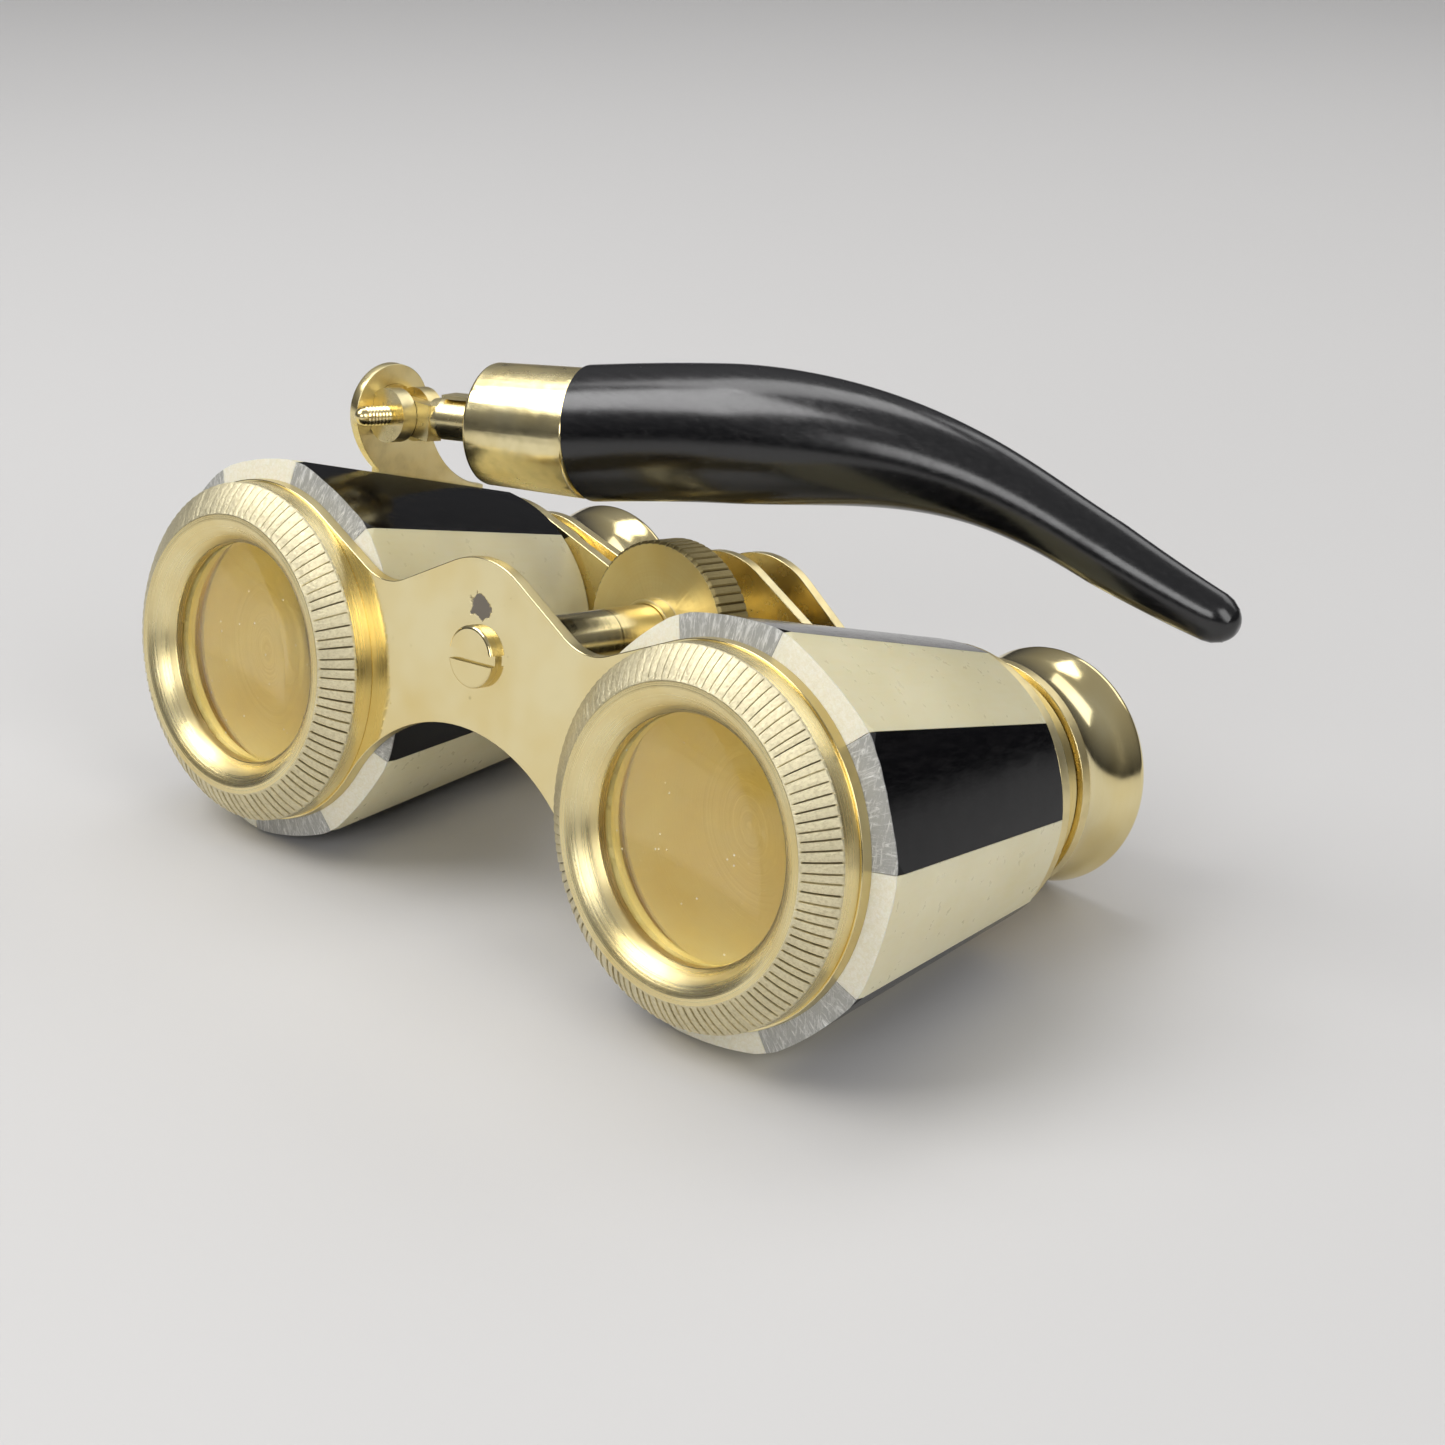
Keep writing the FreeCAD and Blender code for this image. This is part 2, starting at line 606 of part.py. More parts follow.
def handle_rod():
    neck = handle_bar(HANDLE_NECK_R, HANDLE_ROD_U, HANDLE_NECK_END_U, HANDLE_ROD_R)
    rod = handle_bar(HANDLE_ROD_R, HANDLE_NECK_END_U, FERRULE_U[0] + FERRULE_WALL)
    tang = handle_bar(TANG_R, FERRULE_U[0] + FERRULE_WALL, TANG_END_U)
    bar = to_handle_place(neck.fuse(rod).fuse(tang))
    tongue = Part.makeBox(HANDLE_ROD_U + 0.9, TONGUE_T, 2 * TONGUE_R)
    tongue.translate(Vector(PIVOT_X, PIVOT_Y - TONGUE_T / 2, PIVOT_Z - TONGUE_R))
    nose = cylinder_y(TONGUE_R, PIVOT_Y - TONGUE_T / 2, PIVOT_Y + TONGUE_T / 2, PIVOT_X, PIVOT_Z)
    pin_hole = cylinder_y(PIN_R + RUNNING_GAP, PIVOT_Y - 5, PIVOT_Y + 5, PIVOT_X, PIVOT_Z)
    return bar.fuse(tongue).fuse(nose).cut(pin_hole).removeSplitter()


def handle_ferrule():
    u0, u1 = FERRULE_U
    outer = handle_bar(FERRULE_R[0], u0, u1, FERRULE_R[1])
    inner = handle_bar(HORN_SPIGOT_R + GLUE_GAP, u0 + FERRULE_WALL, u1 + 1)
    hole = handle_bar(HANDLE_ROD_R, u0 - 1, u0 + FERRULE_WALL + 0.5)
    return to_handle_place(outer.cut(inner).cut(hole))


def horn_point(t):
    p = [Vector(u, 0, w) for u, w in HORN_CURVE]
    k = 1 - t
    return p[0] * k ** 3 + p[1] * (3 * t * k ** 2) + p[2] * (3 * t ** 2 * k) + p[3] * t ** 3


def horn_radius(u):
    """Full at the root, thinning smoothly over the outer half, then nearly even."""
    taper_start, taper_end = HORN_TAPER_U
    share = min(max((u - taper_start) / (taper_end - taper_start), 0.0), 1.0)
    ease = share * share * (3 - 2 * share)
    return HORN_ROOT_R - (HORN_ROOT_R - HORN_TIP_R) * ease - 0.04 * max(0.0, u - taper_end)


def horn_grip():
    steps = 14
    wires = []
    for i in range(steps + 1):
        t = i / steps
        centre = horn_point(t)
        ahead = horn_point(min(t + 0.01, 1.0)) - horn_point(max(t - 0.01, 0.0))
        end_share = max(0.0, 1 - (1 - t) / HORN_TIP_SHARE)
        radius = horn_radius(centre.x) * math.sqrt(max(1.0 - end_share ** 2, 0.06))
        wires.append(Part.Wire(Part.makeCircle(radius, centre, ahead)))
    horn = Part.makeLoft(wires, True, False)
    spigot = handle_bar(HORN_SPIGOT_R, FERRULE_U[1] - HORN_SPIGOT_L, FERRULE_U[1] + 1.5)
    bore = handle_bar(TANG_R + GLUE_GAP, FERRULE_U[1] - 10, TANG_END_U + 0.3)
    grip = horn.fuse(spigot).cut(bore)
    ferrule_end = handle_bar(HORN_ROOT_R + 2, FERRULE_U[0], FERRULE_U[1])
    ferrule_room = ferrule_end.cut(handle_bar(HORN_SPIGOT_R, FERRULE_U[0] - 1, FERRULE_U[1] + 1))
    return to_handle_place(grip.cut(ferrule_room))


def handle_leaf():
    """A thin leaf along the top of the rod, from the ferrule towards the knuckle."""
    stretch = math.hypot(1.0, HANDLE_RISE)
    length = (FERRULE_U[0] - LEAF["start_u"]) * stretch
    leaf = Part.makeBox(length, LEAF["width"], LEAF["thick"])
    leaf.translate(Vector(LEAF["start_u"] * stretch, -LEAF["width"] / 2, HANDLE_ROD_R))
    leaf.rotate(Vector(0, 0, 0), Vector(0, 1, 0), -math.degrees(math.atan(HANDLE_RISE)))
    return to_handle_place(leaf)


# -------------------------------------------------------------------- assembly
def barrel_parts(side, x):
    parts = {
        "objective_bezel": objective_bezel(x),
        "objective_lens": objective_lens(x),
        "objective_lens_ring": objective_ring(x),
        "barrel_tube": barrel_tube(x),
        "rear_collar": rear_collar(x),
        "draw_tube": draw_tube(x),
        "eye_lens": eye_lens(x),
        "eye_lens_ring": eye_ring(x),
        "eyecup": eyecup(x),
    }
    named = {name + "_" + side: shape for name, shape in parts.items()}
    for index in range(FACETS):
        name = "%s_strip_%s_%d" % (strip_material(side, index), side, index + 1)
        strip = cover_strip(side, x, index)
        if side == "left" and index in (0, FACETS - 1):
            strip = strip.cut(lug_slot())
        named[name] = strip
    return named


def all_parts():
    half = BARREL_SPACING / 2
    parts = {}
    parts.update(barrel_parts("left", -half))
    parts.update(barrel_parts("right", half))
    for build in (front_bridge, rear_bridge, eyepiece_bridge, bridge_screw, focus_post,
                  focus_sleeve, focus_wheel, sleeve_ring, focus_spindle, spindle_nut,
                  hinge_lug, hinge_trunnion, pivot_screw, handle_rod, handle_ferrule,
                  horn_grip, handle_leaf):
        parts[build.__name__] = build()
    return parts


def resting_pose(parts):
    """Tip the glasses onto their front rings and eyecups, and put the origin
    under the middle of the bounding box."""
    slope = (COVER_FRONT_R - COVER_REAR_R) / (COVER_REAR_Y - COVER_FRONT_Y)
    ring_y = COVER_FRONT_Y + (COVER_FRONT_R - FRONT_RING_R) / slope
    tilt = math.atan2(FRONT_RING_R - EYECUP_RIM_R, EYECUP_RIM_Y - ring_y)
    turn = Matrix()
    turn.rotateX(-tilt)
    tipped = Part.makeCompound([shape.transformed(turn) for shape in parts.values()])
    box = tipped.optimalBoundingBox()
    pose = Matrix()
    pose.rotateX(-tilt)
    pose.move(Vector(-(box.XMin + box.XMax) / 2, -(box.YMin + box.YMax) / 2, -box.ZMin))
    return pose, tilt, box


def main():
    os.makedirs("parts", exist_ok=True)
    parts = all_parts()
    pose, tilt, box = resting_pose(parts)
    for name, shape in parts.items():
        placed = shape.transformed(pose)
        solids = placed.Solids
        result = solids[0] if len(solids) == 1 else placed
        print(name, "valid", result.isValid(), "solids", len(solids), "volume %.1f" % result.Volume)
        result.exportStep("parts/%s.step" % name)
    print("tilt_deg %.4f" % math.degrees(tilt))
    print("size", [round(v, 2) for v in (box.XLength, box.YLength, box.ZLength)])
    for label, point in (("focus", Vector(0, WHEEL_FRONT_Y, FOCUS_Z)),
                         ("pivot", Vector(PIVOT_X, PIVOT_Y, PIVOT_Z)),
                         ("level_origin", Vector(0, 0, 0))):
        moved = pose.multVec(point)
        print(label, [round(v / 1000, 6) for v in (moved.x, moved.y, moved.z)])


main()
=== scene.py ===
import json
import math
import random

import bmesh
import bpy
from mathutils import Matrix, Vector


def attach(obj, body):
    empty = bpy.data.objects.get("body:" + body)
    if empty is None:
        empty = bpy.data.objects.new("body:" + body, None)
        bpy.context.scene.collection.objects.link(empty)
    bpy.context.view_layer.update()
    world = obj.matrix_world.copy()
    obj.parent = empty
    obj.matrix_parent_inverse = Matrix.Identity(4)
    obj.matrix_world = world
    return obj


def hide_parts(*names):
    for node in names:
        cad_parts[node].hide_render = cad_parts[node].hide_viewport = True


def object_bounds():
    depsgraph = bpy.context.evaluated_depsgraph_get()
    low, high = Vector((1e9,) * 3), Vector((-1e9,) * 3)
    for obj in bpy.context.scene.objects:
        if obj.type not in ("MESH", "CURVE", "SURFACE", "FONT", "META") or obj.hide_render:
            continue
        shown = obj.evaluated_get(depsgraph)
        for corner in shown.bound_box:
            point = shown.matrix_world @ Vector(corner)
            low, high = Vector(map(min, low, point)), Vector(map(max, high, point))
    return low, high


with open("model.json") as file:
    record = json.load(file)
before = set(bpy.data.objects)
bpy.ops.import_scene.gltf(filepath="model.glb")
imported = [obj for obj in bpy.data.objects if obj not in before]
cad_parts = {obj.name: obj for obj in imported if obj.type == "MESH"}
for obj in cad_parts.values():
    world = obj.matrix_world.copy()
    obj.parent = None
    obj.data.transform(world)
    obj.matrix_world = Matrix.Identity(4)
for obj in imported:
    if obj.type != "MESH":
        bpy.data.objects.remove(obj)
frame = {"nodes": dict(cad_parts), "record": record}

# Opera glasses: brass barrels covered in horn and bone strips, with a horn handle.
# Lengths are in millimetres in the level frame: x across, y rearward along the
# barrels from the front lips, z up. LEVEL takes them to the row frame in metres.

# ---------------------------------------------------------------- dimensions
AXIS_X = {"left": -30.0, "right": 30.0}
BEZEL_TEETH = {"left": 97, "right": 110}
TOOTH_SEED = {"left": 11, "right": 12}
TOOTH_DEPTH = 0.25
LIP_TOP_R = 13.5
CONE_VIA = (15.05, 0.92)
BAND_FRONT = (16.4, 2.1)
BAND_REAR_Y = 4.2
SKIRT_R = 13.0
BORE_R = 11.9
BEZEL_REAR_Y = 8.6
SEAT_Y = 2.8
INNER_CONE = ((12.9, 0.0), (11.6, 0.75), (10.7, 1.9))

# One tooth's section across the ring, as (share of the pitch, depth share) pairs.
FILED = ((-0.5, 0.10), (-0.3, 0.05), (-0.12, 0.0), (-0.05, 0.0),
         (0.0, 1.0), (0.06, 0.95), (0.13, 0.32), (0.3, 0.2))
KNURLED = ((-0.5, 0.0), (-0.28, 0.0), (-0.17, 0.0), (-0.1, 0.55),
           (0.0, 1.0), (0.1, 0.55), (0.17, 0.0), (0.28, 0.0))

# The eyecup's section: arcs as (start, via, end, steps) over the outside and back down
# the hollow, then the corners of its seat. Each point is (radius, y).
EYECUP_ARCS = (
    ((10.6, 43.2), (9.9, 45.6), (10.5, 49.2), 22),
    ((10.5, 49.2), (10.85, 50.0), (11.3, 51.3), 10),
    ((11.3, 51.3), (11.05, 51.95), (10.5, 52.2), 10),
    ((10.5, 52.2), (9.9, 51.9), (9.4, 51.1), 10),
    ((9.4, 51.1), (8.1, 48.6), (7.2, 47.3), 12),
)
EYECUP_SEAT = [(7.2, 47.3), (7.2, 45.65), (8.85, 45.65), (8.85, 43.22)]

FOCUS_AXIS = (0.0, 0.0, 7.5)
WHEEL_R = 8.8
WHEEL_Y = (27.2, 31.2)
WHEEL_TEETH = 62
WHEEL_EDGE = 0.28
KNURL_DEPTH = 0.24
HUB_R = 3.3
HUB_FRONT_Y = 25.8
ROD_R = 2.85

COVER_Y = (5.4, 36.0)
FRONT_RING_IN_R = 16.6
COVER_CHAMFER_SLOPE = 0.238

PIVOT = (-28.4, 18.3, 23.1)
PIN_R = 0.95
PIN_FRONT_Y = 12.0
PIN_REAR_Y = 21.2
PIN_HEAD_R = 1.9
PIN_HEAD_T = 1.2
THREAD_PITCH = 0.42
THREAD_TURNS = 11
THREAD_ROOT_R = PIN_R * 0.82

HANDLE_RAKE = math.radians(15.7)
HORN_CURVE = ((21.2, 2.2), (61.9, 11.0), (62.2, 3.7), (85.7, -2.5))
HORN_ROOT_R = 6.45
HORN_TIP_R = 3.0
HORN_TAPER_U = (35.0, 73.0)
HORN_TIP_THINNING = 0.07
HORN_TIP_LENGTH = 2.4

CAMERA_SPOT = (170.49, -158.08, 70.29)
CAMERA_AIM = (26.56, 8.0, 8.48)
CAMERA_ROLL = math.radians(0.84)
CAMERA_LENS = 67.58
CAMERA_SENSOR = 36.0

CHIP_SPOT = (-0.2, 12.1)
CHIP_SIZE = (1.5, 1.1)

SMOOTH_ANGLE = math.radians(38)
SHARP_ANGLE = math.radians(32)
FLAT_ANGLE = math.radians(0.4)
PLATE_EASE = 0.09
FERRULE_EASE = 0.45

# Lights: name, place from the object's middle in metres, size in metres, power in watts.
LIGHTS = (
    ("key", (-0.30, -0.35, 0.62), (0.5, 0.4), 3.1),
    ("front", (0.28, -0.60, 0.30), (0.35, 0.25), 1.1),
    ("side", (0.70, -0.10, 0.35), (0.35, 0.5), 1.6),
    ("top", (-0.28, 0.16, 0.66), (0.55, 0.3), 1.5),
    ("back", (0.05, 0.60, 0.45), (0.6, 0.3), 0.8),
)
SKY_LOW = (0.05, 0.05, 0.055)
SKY_HIGH = (0.40, 0.40, 0.41)
SKY_STRENGTH = 0.8
FLOOR_TONES = ((0.62, 0.61, 0.60), (0.66, 0.65, 0.64))
FLOOR_HALF = 6.0
FLOOR_GAP = 0.0002


def level_frame():
    """Level millimetres to the row frame, from the two front rims' mounts."""
    rims = {m["name"]: m for m in frame["record"]["mounts"]}
    left = Vector(rims["front_rim_left"]["pos_m"])
    right = Vector(rims["front_rim_right"]["pos_m"])
    across = (right - left).normalized()
    rearward = -Vector(rims["front_rim_left"]["axis"]).normalized()
    basis = Matrix((across, rearward, across.cross(rearward))).transposed()
    return Matrix.Translation((left + right) / 2) @ basis.to_4x4() @ Matrix.Scale(0.001, 4)


LEVEL = level_frame()
cad_low, cad_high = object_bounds()


# ---------------------------------------------------------------- node helpers
def add(tree, kind, settings=None, inputs=None):
    """A shader node with its settings and inputs, where an input may be another node's output."""
    node = tree.nodes.new("ShaderNode" + kind)
    for key, value in (settings or {}).items():
        setattr(node, key, value)
    for key, value in (inputs or {}).items():
        socket = node.inputs[key]
        if isinstance(value, bpy.types.NodeSocket):
            tree.links.new(value, socket)
        else:
            socket.default_value = value
    return node


def maths(tree, operation, a, b=0.0, clamp=False):
    return add(tree, "Math", {"operation": operation, "use_clamp": clamp}, {0: a, 1: b}).outputs[0]


def mix(tree, share, a, b, blend="MIX"):
    def colour(value):
        return value if isinstance(value, bpy.types.NodeSocket) else (*value, 1.0)
    settings = {"data_type": "RGBA", "blend_type": blend}
    return add(tree, "Mix", settings, {0: share, 6: colour(a), 7: colour(b)}).outputs[2]


def spread(tree, value, low, high, out_low=0.0, out_high=1.0):
    """A value remapped from low..high to out_low..out_high, clamped."""
    inputs = {0: value, 1: low, 2: high, 3: out_low, 4: out_high}
    return add(tree, "MapRange", None, inputs).outputs[0]


def noise(tree, coords, scale, detail=3.0, rough=0.55, stretch=(1.0, 1.0, 1.0), distortion=0.0):
    if stretch != (1.0, 1.0, 1.0):
        coords = add(tree, "Mapping", None, {"Vector": coords, "Scale": stretch}).outputs[0]
    inputs = {"Vector": coords, "Scale": scale, "Detail": detail, "Roughness": rough,
              "Distortion": distortion}
    return add(tree, "TexNoise", None, inputs).outputs[0]


def cells(tree, coords, scale):
    """Distance to the nearest of a field of scattered points."""
    inputs = {"Vector": coords, "Scale": scale, "Randomness": 1.0}
    return add(tree, "TexVoronoi", {"feature": "F1"}, inputs).outputs["Distance"]


def bump(tree, height, depth_mm, normal=None, strength=1.0):
    inputs = {"Height": height, "Distance": depth_mm * 0.001, "Strength": strength}
    if normal is not None:
        inputs["Normal"] = normal
    return add(tree, "Bump", None, inputs).outputs[0]


def level_coordinates(tree, centre=(0.0, 0.0, 0.0)):
    """The rest position in level millimetres from a centre."""
    coords = add(tree, "TexCoord").outputs["Object"]
    spot, turn, size = (LEVEL @ Matrix.Translation(centre)).decompose()
    inputs = {"Vector": coords, "Location": spot, "Rotation": turn.to_euler(), "Scale": size}
    return add(tree, "Mapping", {"vector_type": "TEXTURE"}, inputs).outputs[0]


def polar(tree, coords):
    """Radius, turn angle and run along the axis of coordinates about a level Y axis."""
    parts = add(tree, "SeparateXYZ", None, {0: coords})
    x, y, z = parts.outputs
    flat = add(tree, "CombineXYZ", None, {0: x, 1: z}).outputs[0]
    radius = add(tree, "VectorMath", {"operation": "LENGTH"}, {0: flat}).outputs["Value"]
    return radius, maths(tree, "ARCTAN2", z, x), y


def new_material(name):
    material = bpy.data.materials.new(name)
    material.use_nodes = True
    tree = material.node_tree
    return material, tree, tree.nodes["Principled BSDF"]


def feed(tree, shader, **inputs):
    """Sets or links the shader's inputs, which are named with underscores for spaces."""
    for key, value in inputs.items():
        socket = shader.inputs[key.replace("_", " ")]
        if isinstance(value, bpy.types.NodeSocket):
            tree.links.new(value, socket)
        elif socket.type == "RGBA" and len(value) == 3:
            socket.default_value = (*value, 1.0)
        else:
            socket.default_value = value


# ------------------------------------------------------------------ materials
BRASS = (0.90, 0.79, 0.46)
BRASS_WARM = (0.83, 0.67, 0.31)
BRASS_DULL = (0.34, 0.27, 0.11)
BRASS_PALE = (0.86, 0.78, 0.53)
BRASS_AGED = (0.42, 0.34, 0.16)
CUT_BOTTOM_DARK = (0.10, 0.07, 0.03)
CHIP = (0.24, 0.21, 0.17)
AMBER = (0.98, 0.86, 0.38)
AMBER_DEEP = (0.94, 0.76, 0.26)
COLLAR_BRASS = (0.88, 0.73, 0.34)
COLLAR_WARM = (0.80, 0.60, 0.20)
HORN_BLACK = (0.002, 0.002, 0.0025)
HORN_STREAK = (0.008, 0.0075, 0.008)
HORN_PATCH = (0.006, 0.0055, 0.006)
HORN_SANDED = ((0.40, 0.40, 0.38), (0.93, 0.93, 0.90))
BONE = (0.86, 0.79, 0.52)
BONE_WARM = (0.80, 0.72, 0.43)
BONE_PALE = (0.88, 0.83, 0.60)
BONE_SANDED = ((0.84, 0.80, 0.66), (0.94, 0.93, 0.86))
GLASS = (0.99, 0.955, 0.80)


def plate_edge(tree):
    """1 on surfaces that lie along the barrels, such as a plate's sawn edge, and 0 on its faces."""
    facing = add(tree, "NewGeometry").outputs["True Normal"]
    rearward = tuple((LEVEL.to_3x3() @ Vector((0.0, 1.0, 0.0))).normalized())
    along = add(tree, "VectorMath", {"operation": "DOT_PRODUCT"}, {0: facing, 1: rearward}).outputs["Value"]
    return spread(tree, maths(tree, "ABSOLUTE", along), 0.3, 0.8, 1.0, 0.0)


def chipped_spot(tree, coords):
    """1 on the small bare chip just above the front plate's screw, with a ragged outline."""
    parts = add(tree, "SeparateXYZ", None, {0: coords})
    x, y, z = parts.outputs
    across = maths(tree, "DIVIDE", maths(tree, "SUBTRACT", x, CHIP_SPOT[0]), CHIP_SIZE[0])
    up = maths(tree, "DIVIDE", maths(tree, "SUBTRACT", z, CHIP_SPOT[1]), CHIP_SIZE[1])
    flat = add(tree, "CombineXYZ", None, {0: across, 1: up}).outputs[0]
    reach = add(tree, "VectorMath", {"operation": "LENGTH"}, {0: flat}).outputs["Value"]
    waver = spread(tree, noise(tree, coords, 0.7, 4.0, 0.65), 0.25, 0.75, -0.45, 0.45)
    ragged = maths(tree, "ADD", reach, waver)
    inside = spread(tree, ragged, 0.9, 1.0, 1.0, 0.0)
    return maths(tree, "MULTIPLY", inside, maths(tree, "LESS_THAN", y, COVER_Y[0]))


def sheet_brass():
    """Hand-polished plate: soft scratches, pinhead pits and a few dull specks."""
    material, tree, shader = new_material("polished_plate_brass")
    coords = level_coordinates(tree)
    drift = noise(tree, coords, 0.12, 2.0)
    specks = spread(tree, cells(tree, coords, 0.42), 0.0, 0.11, 1.0, 0.0)
    chosen = spread(tree, noise(tree, coords, 0.23, 1.0), 0.52, 0.6)
    specks = maths(tree, "MULTIPLY", specks, chosen)
    tone = mix(tree, spread(tree, drift, 0.35, 0.7), BRASS, BRASS_WARM)
    tone = mix(tree, maths(tree, "MULTIPLY", specks, 0.7), tone, BRASS_DULL)
    haze = noise(tree, coords, 0.9, 4.0, 0.6)
    rough = spread(tree, haze, 0.3, 0.75, 0.06, 0.15)
    wipes = noise(tree, coords, 2.2, 3.0, 0.6, (0.35, 1.0, 2.6))
    ripples = noise(tree, coords, 0.11, 1.0, 0.4)
    pits = spread(tree, cells(tree, coords, 0.9), 0.02, 0.12)
    normal = bump(tree, ripples, 0.6, strength=0.5)
    normal = bump(tree, wipes, 0.012, normal, 0.25)
    normal = bump(tree, pits, 0.015, normal, 0.5)
    edge = plate_edge(tree)
    tone = mix(tree, maths(tree, "MULTIPLY", edge, 0.35), tone, BRASS_DULL)
    rough = maths(tree, "MAXIMUM", rough, maths(tree, "MULTIPLY", edge, 0.36))
    chip = chipped_spot(tree, coords)
    tone = mix(tree, chip, tone, CHIP)
    rough = maths(tree, "MAXIMUM", rough, maths(tree, "MULTIPLY", chip, 0.55))
    normal = bump(tree, chip, -0.06, normal)
    shine = spread(tree, chip, 0.0, 1.0, 1.0, 0.6)
    feed(tree, shader, Base_Color=tone, Metallic=shine, Roughness=rough, Normal=normal)
    return material


def satin_brass(name, rough=(0.2, 0.3)):
    """Softly rubbed brass with cloudy tarnish and hairline scratches."""
    material, tree, shader = new_material(name)
    coords = level_coordinates(tree)
    drift = noise(tree, coords, 0.14, 3.0)
    cloud = noise(tree, coords, 0.6, 4.0, 0.6)
    hairs = noise(tree, coords, 3.0, 3.0, 0.6, (0.3, 1.0, 2.4))
    colour = mix(tree, spread(tree, drift, 0.35, 0.7), BRASS, BRASS_WARM)
    colour = mix(tree, spread(tree, cloud, 0.45, 0.8, 0.0, 0.25), colour, BRASS_DULL)
    edge = plate_edge(tree)
    finish = spread(tree, cloud, 0.3, 0.7, *rough)
    finish = maths(tree, "ADD", finish, maths(tree, "MULTIPLY", edge, 0.1))
    normal = bump(tree, drift, 0.3, strength=0.4)
    normal = bump(tree, hairs, 0.01, normal, 0.3)
    feed(tree, shader, Base_Color=colour, Metallic=1.0, Roughness=finish, Normal=normal)
    return material


def turned_brass(name, centre, tone=BRASS, warm=BRASS_WARM, rough=(0.16, 0.3), marks=0.02, mirror=False,
                 shine=1.0):
    """Lathe-turned brass: fine rings round the axis, brushed tone and slight tarnish."""
    material, tree, shader = new_material(name)
    coords = level_coordinates(tree, centre)
    radius, angle, run = polar(tree, coords)
    ring_spot = add(tree, "CombineXYZ", None, {0: radius, 1: run}).outputs[0]
    swept = add(tree, "CombineXYZ", None,
                {0: radius, 1: run, 2: maths(tree, "MULTIPLY", angle, 0.5)}).outputs[0]
    rings = noise(tree, ring_spot, 5.5, 4.0, 0.7)
    coarse = noise(tree, swept, 1.6, 2.0)
    drift = noise(tree, coords, 0.14, 2.0)
    colour = mix(tree, spread(tree, drift, 0.35, 0.7), tone, warm)
    colour = mix(tree, spread(tree, rings, 0.3, 0.7, 0.0, 0.3), colour, warm)
    finish = spread(tree, maths(tree, "ADD", rings, coarse), 0.7, 1.3, *rough)
    normal = bump(tree, rings, marks, strength=0.25 if mirror else 0.6)
    feed(tree, shader, Base_Color=colour, Metallic=shine, Roughness=finish, Normal=normal)
    return material


def cut_brass(name, centre, land=BRASS_PALE, cut_darkening=0.85, rough_range=(0.32, 0.55)):
    """Hand-cut teeth: bright lands, colour darker towards the bottom of the cuts, and burred edges."""
    material, tree, shader = new_material(name)
    coords = level_coordinates(tree, centre)
    radius, angle, _ = polar(tree, coords)
    depth = add(tree, "Attribute", {"attribute_name": "cut_depth"}).outputs["Fac"]
    grain_spot = add(tree, "CombineXYZ", None,
                     {0: maths(tree, "MULTIPLY", angle, 16.0),
                      1: maths(tree, "MULTIPLY", radius, 0.8)}).outputs[0]
    grain = noise(tree, grain_spot, 4.0, 4.0, 0.7)
    drift = noise(tree, coords, 0.16, 2.0)
    burrs = noise(tree, coords, 2.6, 4.0, 0.7)
    other = tuple(0.85 * part for part in land)
    colour = mix(tree, spread(tree, drift, 0.35, 0.7), land, other)
    colour = mix(tree, spread(tree, grain, 0.45, 0.75, 0.0, 0.45), colour, BRASS_DULL)
    # Colour darkens with the cut depth, towards the bottom of each cut.
    cut_dark_share = maths(tree, "MULTIPLY", spread(tree, depth, 0.45, 0.95), cut_darkening)
    colour = mix(tree, cut_dark_share, colour, CUT_BOTTOM_DARK)
    rough = spread(tree, maths(tree, "ADD", grain, burrs), 0.7, 1.3, *rough_range)
    normal = bump(tree, grain, 0.08, strength=0.9)
    normal = bump(tree, burrs, 0.08, normal, 0.8)
    feed(tree, shader, Base_Color=colour, Metallic=1.0, Roughness=rough, Normal=normal)
    return material


def horn(name, lengthwise=True, gloss=(0.1, 0.2), ior=1.28):
    """Polished black horn with faint brown-grey streaks along the grain."""
    material, tree, shader = new_material(name)
    coords = level_coordinates(tree)
    along = (1.0, 0.12, 1.0) if lengthwise else (0.1, 1.0, 1.0)
    streaks = noise(tree, coords, 2.4, 5.0, 0.62, along, 0.3)
    patches = noise(tree, coords, 0.13, 2.0)
    colour = mix(tree, spread(tree, streaks, 0.45, 0.8), HORN_BLACK, HORN_STREAK)
    colour = mix(tree, spread(tree, patches, 0.5, 0.8, 0.0, 0.5), colour, HORN_PATCH)
    scuffs = noise(tree, coords, 5.0, 4.0, 0.7, (0.5, 0.25, 2.0))
    rough = spread(tree, maths(tree, "ADD", streaks, scuffs), 0.8, 1.3, *gloss)
    normal = bump(tree, streaks, 0.02, strength=0.2)
    normal = bump(tree, patches, 0.4, normal, 0.12)
    feed(tree, shader, Base_Color=colour, Roughness=rough, Normal=normal, IOR=ior)
    return material, tree, shader


def chamfer_share(tree, centre):
    """Coordinates, radius and angle about a barrel, and a share that is 1 on the covers'
    sanded front ring and 0 behind it, with an uneven border."""
    coords = level_coordinates(tree, centre)
    radius, angle, run = polar(tree, coords)
    waver = noise(tree, coords, 0.5, 2.0)
    edge = spread(tree, waver, 0.3, 0.7, -0.08, 0.08)
    cone = maths(tree, "MULTIPLY", maths(tree, "SUBTRACT", radius, FRONT_RING_IN_R), COVER_CHAMFER_SLOPE)
    reach = maths(tree, "SUBTRACT", maths(tree, "ADD", run, edge), cone)
    return coords, radius, angle, spread(tree, reach, COVER_Y[0] + 0.1, COVER_Y[0] + 0.2, 1.0, 0.0)


